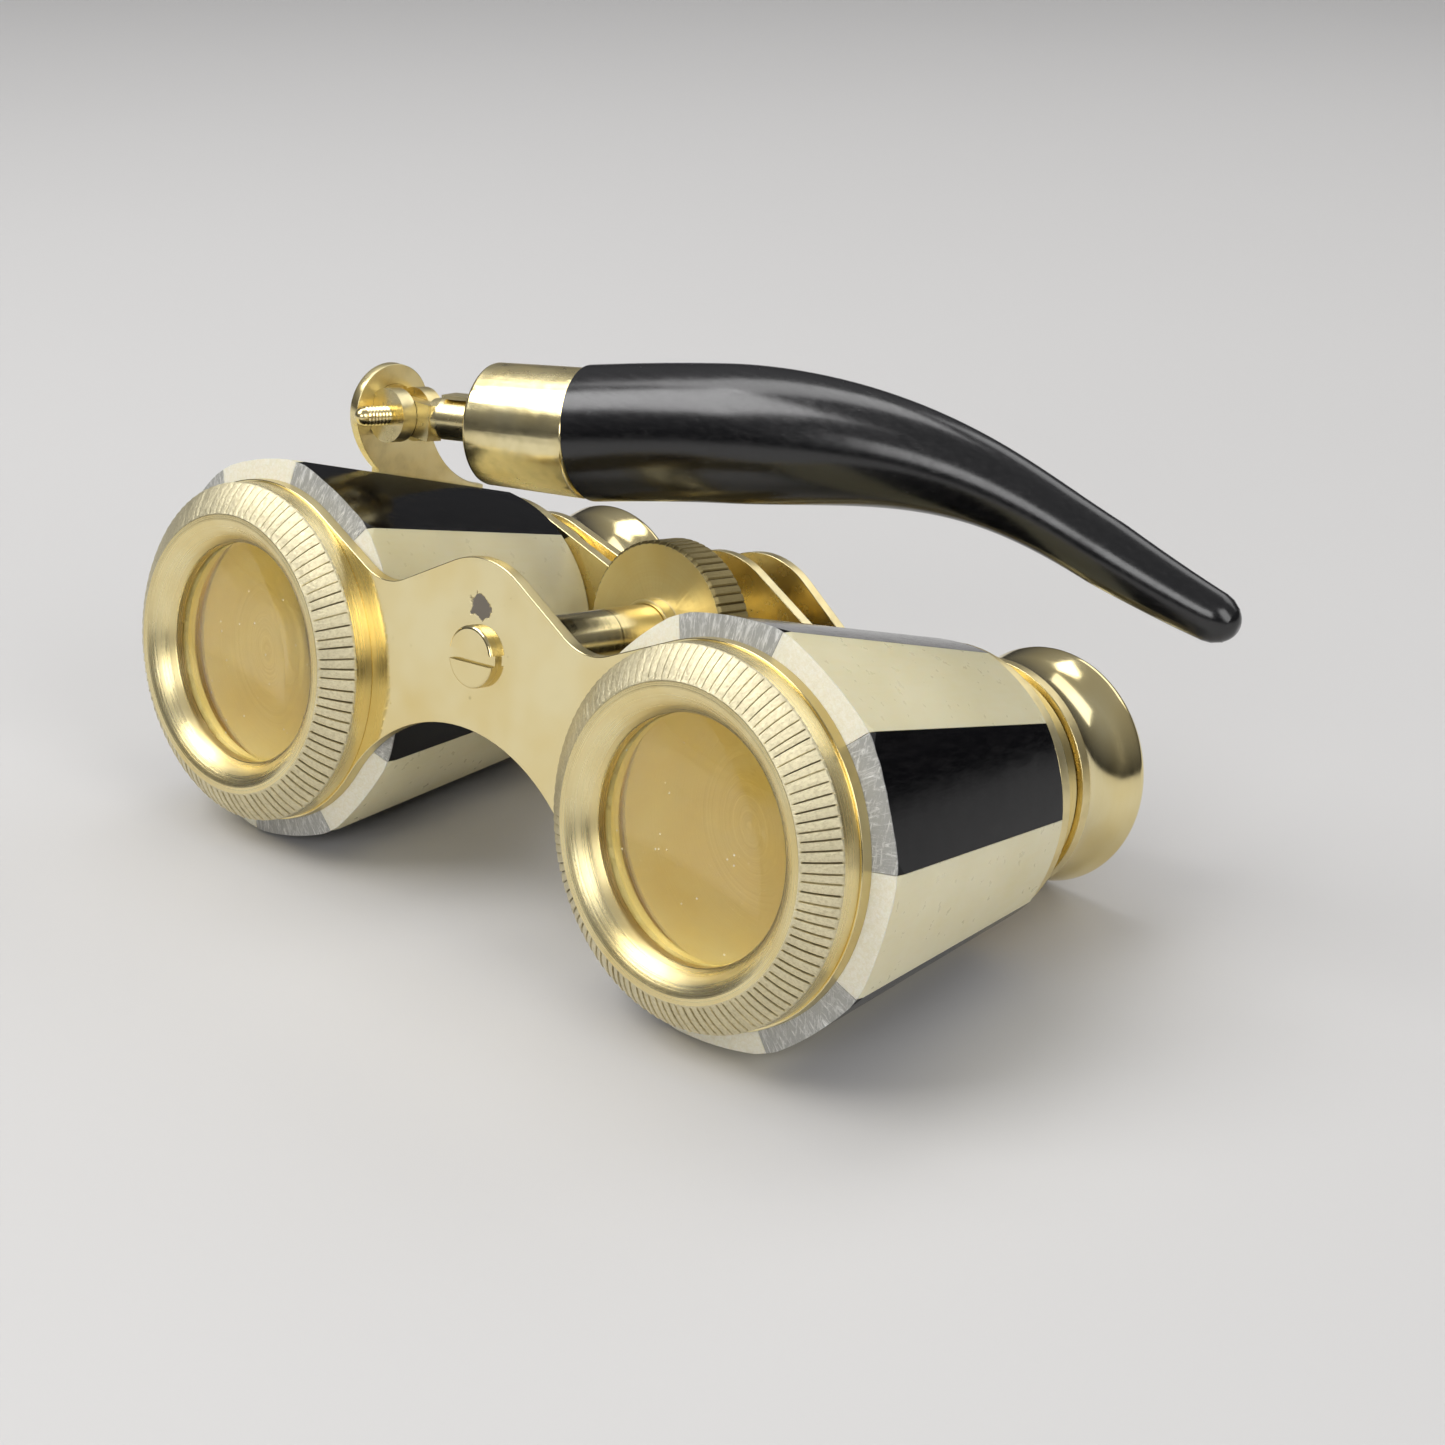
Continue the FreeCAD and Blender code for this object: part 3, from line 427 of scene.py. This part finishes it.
def cover_horn(side):
    """Strip of black horn: glossy facets and a pale, scratched sanded ring in front."""
    material, tree, shader = horn("cover_horn_" + side)
    gloss = {k: shader.inputs[k].links[0].from_socket for k in ("Base Color", "Roughness", "Normal")}
    own, radius, angle, ring = chamfer_share(tree, (AXIS_X[side], 0.0, 0.0))
    swept = add(tree, "CombineXYZ", None, {0: maths(tree, "MULTIPLY", angle, 16.0),
                                           1: maths(tree, "MULTIPLY", radius, 0.9)}).outputs[0]
    rubs = noise(tree, swept, 1.6, 6.0, 0.75, (1.6, 0.35, 1.0), 0.9)
    cross = noise(tree, own, 1.7, 6.0, 0.75, (2.4, 1.0, 0.35), 0.5)
    scratches = maths(tree, "MAXIMUM", spread(tree, rubs, 0.5, 0.68), spread(tree, cross, 0.52, 0.7))
    pale = mix(tree, scratches, *HORN_SANDED)
    colour = mix(tree, ring, gloss["Base Color"], pale)
    rough = add(tree, "Mix", None, {0: ring, 2: gloss["Roughness"], 3: 0.42}).outputs[0]
    depth = maths(tree, "MULTIPLY", scratches, ring)
    normal = bump(tree, depth, 0.05, gloss["Normal"], 0.8)
    feed(tree, shader, Base_Color=colour, Roughness=rough, Normal=normal,
         Metallic=maths(tree, "MULTIPLY", ring, 0.15))
    return material


def cover_bone(side):
    """Strip of cream bone: warm patches and faint grain, and a sanded ring in front."""
    material, tree, shader = new_material("cover_bone_" + side)
    coords = level_coordinates(tree)
    patches = noise(tree, coords, 0.10, 3.0)
    grain = noise(tree, coords, 1.5, 5.0, 0.6, (1.0, 0.08, 1.0))
    colour = mix(tree, spread(tree, patches, 0.35, 0.7), BONE, BONE_WARM)
    colour = mix(tree, spread(tree, grain, 0.35, 0.75, 0.0, 0.35), colour, BONE_PALE)
    own, _, _, ring = chamfer_share(tree, (AXIS_X[side], 0.0, 0.0))
    rubs = noise(tree, own, 3.0, 4.0, 0.7, (1.0, 1.0, 1.0), 0.8)
    sanded = mix(tree, spread(tree, rubs, 0.4, 0.65), *BONE_SANDED)
    colour = mix(tree, maths(tree, "MULTIPLY", ring, 0.75), colour, sanded)
    haze = noise(tree, coords, 0.8, 3.0)
    rough = add(tree, "Mix", None,
                {0: ring, 2: spread(tree, haze, 0.3, 0.7, 0.26, 0.4), 3: 0.55}).outputs[0]
    normal = bump(tree, grain, 0.02, strength=0.25)
    normal = bump(tree, maths(tree, "MULTIPLY", rubs, ring), 0.08, normal, 0.6)
    feed(tree, shader, Base_Color=colour, Roughness=rough, Normal=normal, IOR=1.54,
         Subsurface_Weight=0.2, Subsurface_Radius=(0.0012, 0.0009, 0.0005), Subsurface_Scale=1.0,
         Coat_Weight=0.12, Coat_Roughness=0.2)
    return material


def lens_glass():
    """Clear glass with a little dust on it."""
    material, tree, shader = new_material("clear_lens_glass")
    coords = level_coordinates(tree)
    near = cells(tree, coords, 0.75)
    grains = spread(tree, near, 0.045, 0.07, 1.0, 0.0)
    chosen = spread(tree, noise(tree, coords, 0.35, 2.0), 0.46, 0.52)
    dust = maths(tree, "MULTIPLY", grains, chosen)
    fine = maths(tree, "MULTIPLY", spread(tree, cells(tree, coords, 2.6), 0.05, 0.09, 1.0, 0.0),
                 spread(tree, noise(tree, coords, 0.5, 2.0), 0.54, 0.62))
    dust = maths(tree, "MAXIMUM", dust, maths(tree, "MULTIPLY", fine, 0.6))
    film = spread(tree, noise(tree, coords, 0.16, 3.0), 0.3, 0.7, 0.0, 0.03)
    clear = maths(tree, "SUBTRACT", 1.0, maths(tree, "MAXIMUM", maths(tree, "MULTIPLY", dust, 0.95), film))
    rough = maths(tree, "MULTIPLY", dust, 0.6)
    feed(tree, shader, Base_Color=GLASS, Roughness=rough, IOR=1.52,
         Transmission_Weight=clear)
    return material


# ------------------------------------------------------------ mesh construction
def finish_piece(name, points, faces, materials, body, nodes=(), indices=None, floats=None):
    """Makes a piece from level points: smooth shaded, weighted normals, riding on its body."""
    mesh = bpy.data.meshes.new(name)
    mesh.from_pydata([LEVEL @ Vector(p) for p in points], [], faces)
    piece = bpy.data.objects.new(name, mesh)
    bpy.context.scene.collection.objects.link(piece)
    for material in materials:
        mesh.materials.append(material)
    if indices:
        mesh.polygons.foreach_set("material_index", indices)
    for label, values in (floats or {}).items():
        layer = mesh.attributes.new(label, "FLOAT", "POINT")
        layer.data.foreach_set("value", values)
    tidy_normals(piece)
    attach(piece, body)
    if nodes:
        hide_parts(*nodes)
    return piece


def tidy_normals(piece):
    mesh = piece.data
    mesh.shade_smooth()
    mesh.set_sharp_from_angle(angle=SMOOTH_ANGLE)
    weighted = piece.modifiers.new("weighted", "WEIGHTED_NORMAL")
    weighted.keep_sharp = True
    weighted.weight = 60


def arc(start, via, end, steps):
    """Points along the circle through three points, from start up to but not including end."""
    a, b, c = (Vector(p) for p in (start, via, end))
    d = 2 * (a.x * (b.y - c.y) + b.x * (c.y - a.y) + c.x * (a.y - b.y))
    ux = (a.dot(a) * (b.y - c.y) + b.dot(b) * (c.y - a.y) + c.dot(c) * (a.y - b.y)) / d
    uy = (a.dot(a) * (c.x - b.x) + b.dot(b) * (a.x - c.x) + c.dot(c) * (b.x - a.x)) / d
    centre = Vector((ux, uy))
    first = math.atan2(*(a - centre).yx)
    middle = (math.atan2(*(b - centre).yx) - first) % math.tau
    last = (math.atan2(*(c - centre).yx) - first) % math.tau
    sweep = last if middle < last else last - math.tau
    radius = (a - centre).length
    turns = [first + sweep * i / steps for i in range(steps)]
    return [(centre.x + radius * math.cos(t), centre.y + radius * math.sin(t)) for t in turns]


def round_corners(loop, radius, turn=math.radians(20), steps=4):
    """A closed outline with each sharp corner rounded off."""
    out = []
    count = len(loop)
    for i in range(count):
        here = Vector(loop[i])
        back = Vector(loop[i - 1]) - here
        ahead = Vector(loop[(i + 1) % count]) - here
        if back.length < 1e-9 or ahead.length < 1e-9:
            continue
        bend = math.pi - back.angle(ahead)
        if bend < turn:
            out.append(tuple(here))
            continue
        reach = min(radius * math.tan(bend / 2), back.length * 0.45, ahead.length * 0.45)
        first = here + back.normalized() * reach
        last = here + ahead.normalized() * reach
        for k in range(steps + 1):
            t = k / steps
            spot = first * (1 - t) ** 2 + here * (2 * t * (1 - t)) + last * t ** 2
            out.append(tuple(spot))
    return out


def lathe(loop, centre, angles, shift=None):
    """Points and faces of a closed outline of (radius, y) turned about a level Y axis.

    shift(point index, angle index) gives a (radius, y) offset and a value kept per point."""
    points, faces, values = [], [], []
    rows, columns = len(loop), len(angles)
    cx, cy, cz = centre
    for i in range(rows):
        for j, angle in enumerate(angles):
            radius, y = loop[i]
            value = 0.0
            if shift:
                (more_r, more_y), value = shift(i, j)
                radius, y = radius + more_r, y + more_y
            points.append((cx + radius * math.cos(angle), cy + y, cz + radius * math.sin(angle)))
            values.append(value)
    for i in range(rows):
        for j in range(columns):
            a, b = i * columns + j, i * columns + (j + 1) % columns
            k = (i + 1) % rows
            c, d = k * columns + (j + 1) % columns, k * columns + j
            faces.append((a, b, c, d))
    return points, faces, values


def skin(rows, columns):
    """Faces between each closed row of points and the next."""
    faces = []
    for i in range(rows - 1):
        for j in range(columns):
            a, b = i * columns + j, i * columns + (j + 1) % columns
            faces.append((a, b, b + columns, a + columns))
    return faces


def even_angles(count):
    return [math.tau * j / count for j in range(count)]


def outward_normals(loop):
    """For each point of a closed outline, a unit vector across it, to the left of its run."""
    normals = []
    count = len(loop)
    for i in range(count):
        run = (Vector(loop[(i + 1) % count]) - Vector(loop[i - 1])).normalized()
        normals.append(Vector((-run.y, run.x)))
    return normals


def tooth_columns(teeth, seed, offsets, uneven=0.1):
    """Angles across a ring of uneven hand-cut teeth, with the depth share at each. The
    offsets give one tooth's section as (share of the pitch, depth share) pairs."""
    chance = random.Random(seed)
    pitch = math.tau / teeth
    angles, depths, tooth_of = [], [], []
    for k in range(teeth):
        middle = pitch * (k + 0.5 + chance.uniform(-uneven, uneven))
        strength = chance.uniform(0.7, 1.15)
        for offset, depth in offsets:
            angles.append(middle + pitch * offset if abs(offset) < 0.5 else pitch * k)
            depths.append(depth * strength)
            tooth_of.append(k)
    return angles, depths, tooth_of


def smoothstep(x):
    x = min(max(x, 0.0), 1.0)
    return x * x * (3 - 2 * x)


# --------------------------------------------------------------------- pieces
def bezel_outline():
    """The bezel's section from the lip over the cone, band and skirt and back to the lip."""
    cone = arc((LIP_TOP_R, 0.0), CONE_VIA, BAND_FRONT, 34)
    band_r, band_y = BAND_FRONT
    rest = [BAND_FRONT, (band_r, band_y + 0.22), (band_r, band_y + 0.4), (band_r, BAND_REAR_Y),
            (SKIRT_R, BAND_REAR_Y), (SKIRT_R, BEZEL_REAR_Y), (BORE_R, BEZEL_REAR_Y),
            (BORE_R, SEAT_Y), (INNER_CONE[2][0], SEAT_Y)]
    inner = arc(INNER_CONE[2], INNER_CONE[1], INNER_CONE[0], 12)
    whole = cone + rest + inner + [INNER_CONE[0]]
    return round_corners(whole, 0.1)


def objective_bezel(side):
    """The bezel, with hand-cut teeth from the lip down the cone to the band."""
    loop = bezel_outline()
    normals = outward_normals(loop)
    angles, depths, tooth_of = tooth_columns(BEZEL_TEETH[side], TOOTH_SEED[side], FILED)
    chance = random.Random(5)
    starts = [chance.uniform(0.0, 0.12) for _ in range(BEZEL_TEETH[side])]

    def shift(i, j):
        radius, y = loop[i]
        on_cone = radius > LIP_TOP_R + 0.02 and y < BAND_FRONT[1] + 0.2
        if not on_cone:
            return (0.0, 0.0), 0.0
        from_lip = smoothstep((radius - LIP_TOP_R - 0.04 - starts[tooth_of[j]]) / 0.16)
        to_band = smoothstep((BAND_FRONT[1] + 0.16 - y) / 0.16)
        depth = TOOTH_DEPTH * depths[j] * from_lip * to_band
        inward = normals[i] * depth
        return (inward.x, inward.y), depths[j] * from_lip * to_band

    points, faces, values = lathe(loop, (AXIS_X[side], 0.0, 0.0), angles, shift)
    smooth = turned_brass("bezel_brass_" + side, (AXIS_X[side], 0.0, 0.0), rough=(0.2, 0.36), marks=0.06)
    teeth = cut_brass("cut_teeth_brass_" + side, (AXIS_X[side], 0.0, 0.0))
    columns = len(angles)
    indices = []
    for i in range(len(loop)):
        radius, y = loop[i]
        toothed = LIP_TOP_R + 0.02 < radius and y < BAND_FRONT[1] + 0.05
        indices += [1 if toothed else 0] * columns
    return finish_piece("cut_bezel_" + side, points, faces, [smooth, teeth], "body",
                        ["objective_bezel_" + side], indices, {"cut_depth": values})


def eyecup(side):
    """The waisted, mirror-bright cup with a rounded lip."""
    outline = []
    for start, via, end, steps in EYECUP_ARCS:
        outline += arc(start, via, end, steps)
    loop = round_corners(outline + EYECUP_SEAT, 0.12)
    points, faces, _ = lathe(loop, (AXIS_X[side], 0.0, 0.0), even_angles(224))
    metal = turned_brass("eyecup_brass_" + side, (AXIS_X[side], 0.0, 0.0),
                         rough=(0.09, 0.17), marks=0.008, mirror=True)
    return finish_piece("bright_eyecup_" + side, points, faces, [metal], "eyepieces",
                        ["eyecup_" + side])


def focus_wheel():
    """The wheel: a turned face, a raised hub and coarse straight cuts across the rim."""
    front, rear = WHEEL_Y
    edge = WHEEL_EDGE
    loop = [(ROD_R + 0.02, HUB_FRONT_Y), (HUB_R, HUB_FRONT_Y), (HUB_R, front), (WHEEL_R - edge - 0.5, front),
            (WHEEL_R - edge, front), (WHEEL_R, front + edge)]
    loop += [(WHEEL_R, front + edge + (rear - front - 2 * edge) * i / 8) for i in range(1, 8)]
    loop += [(WHEEL_R, rear - edge), (WHEEL_R - edge, rear), (WHEEL_R - edge - 0.5, rear),
             (ROD_R + 0.02, rear)]
    loop = round_corners(loop, 0.12, math.radians(30))
    angles, depths, _ = tooth_columns(WHEEL_TEETH, 21, KNURLED, 0.05)

    def shift(i, j):
        share = smoothstep((loop[i][0] - (WHEEL_R - edge - 0.12)) / 0.3)
        return (-KNURL_DEPTH * depths[j] * share, 0.0), depths[j] * share

    points, faces, values = lathe(loop, FOCUS_AXIS, angles, shift)
    face = turned_brass("wheel_face_brass", FOCUS_AXIS, rough=(0.3, 0.4), marks=0.015)
    rim = cut_brass("wheel_rim_brass", FOCUS_AXIS, BRASS_AGED, 0.95, (0.42, 0.6))
    columns = len(angles)
    indices = []
    for i in range(len(loop)):
        middle = (loop[i][0] + loop[(i + 1) % len(loop)][0]) / 2
        indices += [1 if middle > WHEEL_R - edge else 0] * columns
    return finish_piece("knurled_focus_wheel", points, faces, [face, rim], "focus_wheel",
                        ["focus_wheel"], indices, {"cut_depth": values})


def pivot_screw():
    """The pin through the handle's eye: a domed end with a cut thread and a rounded head."""
    loop = [(0.0, PIN_FRONT_Y)]
    for step in range(1, 8):
        turn = step * math.pi / 16
        loop.append((0.92 * PIN_R * math.sin(turn), PIN_FRONT_Y + PIN_R * (1 - math.cos(turn))))
    start = PIN_FRONT_Y + PIN_R * 0.9
    for k in range(THREAD_TURNS):
        y = start + k * THREAD_PITCH
        loop += [(THREAD_ROOT_R, y + 0.04), (THREAD_ROOT_R, y + 0.1), (PIN_R, y + 0.24), (PIN_R, y + 0.3)]
    loop += [(PIN_R, PIN_REAR_Y), (PIN_HEAD_R, PIN_REAR_Y), (PIN_HEAD_R, PIN_REAR_Y + PIN_HEAD_T * 0.5),
             (PIN_HEAD_R * 0.8, PIN_REAR_Y + PIN_HEAD_T * 0.9), (0.0, PIN_REAR_Y + PIN_HEAD_T)]
    columns = 48
    points = []
    for radius, y in loop:
        for angle in even_angles(columns):
            points.append((PIVOT[0] + radius * math.cos(angle), y, PIVOT[2] + radius * math.sin(angle)))
    metal = turned_brass("pivot_brass", (PIVOT[0], 0.0, PIVOT[2]), rough=(0.16, 0.3))
    return finish_piece("threaded_pivot_screw", points, skin(len(loop), columns), [metal], "body",
                        ["pivot_screw"])


def eased_copy(node, body, material, width=PLATE_EASE):
    """A CAD part again with its sharp edges eased and its flats shaded true."""
    source = frame["nodes"][node].data
    work = bmesh.new()
    work.from_mesh(source)
    bmesh.ops.remove_doubles(work, verts=work.verts, dist=2e-6)
    bmesh.ops.dissolve_limit(work, angle_limit=FLAT_ANGLE, verts=work.verts, edges=work.edges)
    sharp = [e for e in work.edges if len(e.link_faces) == 2 and e.calc_face_angle(0.0) > SHARP_ANGLE]
    bmesh.ops.bevel(work, geom=sharp, offset=width * 0.001, segments=3, profile=0.5,
                    affect="EDGES", clamp_overlap=True)
    work.verts.index_update()
    points = [v.co.copy() for v in work.verts]
    faces = [[v.index for v in f.verts] for f in work.faces]
    work.free()
    back = LEVEL.inverted()
    return finish_piece("eased_" + node, [back @ p for p in points], faces, [material], body,
                        [node])


def handle_place(u, w, v=0.0):
    """A point in the handle's own frame: u out along the handle, w up, v across."""
    c, s = math.cos(HANDLE_RAKE), math.sin(HANDLE_RAKE)
    return Vector((PIVOT[0] + u * c - v * s, PIVOT[1] + u * s + v * c, PIVOT[2] + w))


def horn_point(t):
    p = [Vector((u, w)) for u, w in HORN_CURVE]
    k = 1 - t
    return p[0] * k ** 3 + p[1] * (3 * t * k * k) + p[2] * (3 * t * t * k) + p[3] * t ** 3


def horn_radius(u):
    share = smoothstep((u - HORN_TAPER_U[0]) / (HORN_TAPER_U[1] - HORN_TAPER_U[0]))
    past = max(0.0, u - HORN_TAPER_U[1])
    return HORN_ROOT_R - (HORN_ROOT_R - HORN_TIP_R) * share - HORN_TIP_THINNING * past


def horn_grip(material):
    """The curved, tapering horn, slightly out of round, with a domed tip."""
    columns = 64
    body_steps, tip_steps = 90, 14
    share = [i / body_steps for i in range(body_steps)]
    rings = []
    end = horn_point(1.0)
    for t in share:
        centre = horn_point(t)
        run = (horn_point(min(t + 0.01, 1.0)) - horn_point(max(t - 0.01, 0.0))).normalized()
        left = (end - centre).length
        size = horn_radius(centre.x)
        if left < HORN_TIP_LENGTH:
            size *= math.sqrt(max(1 - (1 - left / HORN_TIP_LENGTH) ** 2, 0.0))
        rings.append((centre, run, size))
    for k in range(1, tip_steps):
        left = HORN_TIP_LENGTH * (1 - k / tip_steps) * 0.42
        run = (horn_point(1.0) - horn_point(0.98)).normalized()
        size = horn_radius(end.x) * math.sqrt(max(1 - (1 - left / HORN_TIP_LENGTH) ** 2, 0.0))
        rings.append((end - run * left, run, size))
    points = []
    for centre, run, size in rings:
        across = Vector((-run.y, run.x))
        for angle in even_angles(columns):
            wobble = 1 + 0.003 * math.sin(2 * angle + 0.09 * centre.x)
            spot = centre + across * (size * wobble * math.cos(angle))
            points.append(handle_place(spot.x, spot.y, size * wobble * math.sin(angle)))
    faces = skin(len(rings), columns)
    last = (len(rings) - 1) * columns
    faces.append(tuple(range(last, last + columns)))
    faces.append(tuple(reversed(range(columns))))
    return finish_piece("polished_horn_grip", points, faces, [material], "handle", ["horn_grip"])


# --------------------------------------------------------------------- studio
def floor_material():
    material, tree, shader = new_material("pale_floor")
    coords = add(tree, "TexCoord").outputs["Object"]
    mottle = noise(tree, coords, 3.0, 3.0)
    colour = mix(tree, mottle, *FLOOR_TONES)
    feed(tree, shader, Base_Color=colour, Roughness=0.75)
    return material


def make_floor():
    mesh = bpy.data.meshes.new("floor")
    half = FLOOR_HALF
    mesh.from_pydata([(-half, -half, 0), (half, -half, 0), (half, half, 0), (-half, half, 0)], [],
                     [(0, 1, 2, 3)])
    floor = bpy.data.objects.new("floor", mesh)
    bpy.context.scene.collection.objects.link(floor)
    floor.location.z = cad_low.z - FLOOR_GAP
    mesh.materials.append(floor_material())


def soft_light(name, spot, aim, size, power):
    data = bpy.data.lights.new(name, "AREA")
    data.shape = "RECTANGLE"
    data.size, data.size_y = size
    data.energy = power
    light = bpy.data.objects.new(name, data)
    bpy.context.scene.collection.objects.link(light)
    light.location = spot
    light.rotation_euler = (Vector(aim) - Vector(spot)).to_track_quat("-Z", "Y").to_euler()


def make_world():
    """A soft studio surround: bright overhead and dim near the horizon."""
    world = bpy.data.worlds.new("studio")
    bpy.context.scene.world = world
    world.use_nodes = True
    tree = world.node_tree
    coords = add(tree, "TexCoord").outputs["Generated"]
    height = add(tree, "SeparateXYZ", None, {0: coords}).outputs[2]
    share = spread(tree, height, 0.05, 0.75)
    colour = mix(tree, share, SKY_LOW, SKY_HIGH)
    background = tree.nodes["Background"]
    tree.links.new(colour, background.inputs["Color"])
    background.inputs["Strength"].default_value = SKY_STRENGTH


def make_camera():
    data = bpy.data.cameras.new("camera")
    camera = bpy.data.objects.new("camera", data)
    bpy.context.scene.collection.objects.link(camera)
    data.lens = CAMERA_LENS
    data.sensor_width = CAMERA_SENSOR
    data.clip_start = 0.01
    spot = LEVEL @ Vector(CAMERA_SPOT)
    aim = LEVEL @ Vector(CAMERA_AIM)
    facing = (aim - spot).to_track_quat("-Z", "Y").to_matrix().to_4x4()
    camera.matrix_world = Matrix.Translation(spot) @ facing @ Matrix.Rotation(CAMERA_ROLL, 4, "Z")
    bpy.context.scene.camera = camera


def assign(node, material):
    mesh = frame["nodes"][node].data
    mesh.materials.clear()
    mesh.materials.append(material)


def build():
    plate = sheet_brass()
    grip_horn = horn("grip_horn", lengthwise=False, gloss=(0.17, 0.28), ior=1.65)[0]
    glass = lens_glass()
    focus = turned_brass("focus_brass", FOCUS_AXIS, rough=(0.14, 0.26), marks=0.01)
    ferrule = satin_brass("ferrule_brass", (0.16, 0.26))
    satin = satin_brass("satin_plate_brass")
    for side in ("left", "right"):
        centre = (AXIS_X[side], 0.0, 0.0)
        inside = turned_brass("inner_tube_brass_" + side, centre, AMBER, AMBER_DEEP,
                              rough=(0.4, 0.55), marks=0.03, shine=0.12)
        collar = turned_brass("collar_brass_" + side, centre, COLLAR_BRASS, COLLAR_WARM,
                              rough=(0.2, 0.34), marks=0.02)
        covers = {"horn": cover_horn(side), "bone": cover_bone(side)}
        for node in frame["nodes"]:
            if node.endswith("_strip_" + side) or "_strip_" + side + "_" in node:
                assign(node, covers[node.split("_")[0]])
        for node in ("barrel_tube_", "draw_tube_", "objective_lens_ring_", "eye_lens_ring_"):
            assign(node + side, inside)
        for node in ("objective_lens_", "eye_lens_"):
            assign(node + side, glass)
            frame["nodes"][node + side].visible_shadow = False
        assign("rear_collar_" + side, collar)
        objective_bezel(side)
        eyecup(side)
    focus_wheel()
    eased_copy("front_bridge", "body", plate)
    for node in ("rear_bridge", "hinge_lug"):
        eased_copy(node, "body", satin)
    eased_copy("eyepiece_bridge", "eyepieces", satin)
    assign("bridge_screw", plate)
    for node in ("hinge_trunnion", "handle_rod", "handle_leaf"):
        assign(node, satin)
    eased_copy("handle_ferrule", "handle", ferrule, FERRULE_EASE)
    pivot_screw()
    for node in ("focus_post", "focus_sleeve", "sleeve_ring", "focus_spindle", "spindle_nut"):
        assign(node, focus)
    horn_grip(grip_horn)


def light_studio():
    middle = (cad_low + cad_high) / 2
    for name, place, size, power in LIGHTS:
        soft_light(name, middle + Vector(place), middle, size, power)
    make_world()
    make_floor()
    bpy.context.scene.view_settings.view_transform = "Standard"


build()
light_studio()
make_camera()
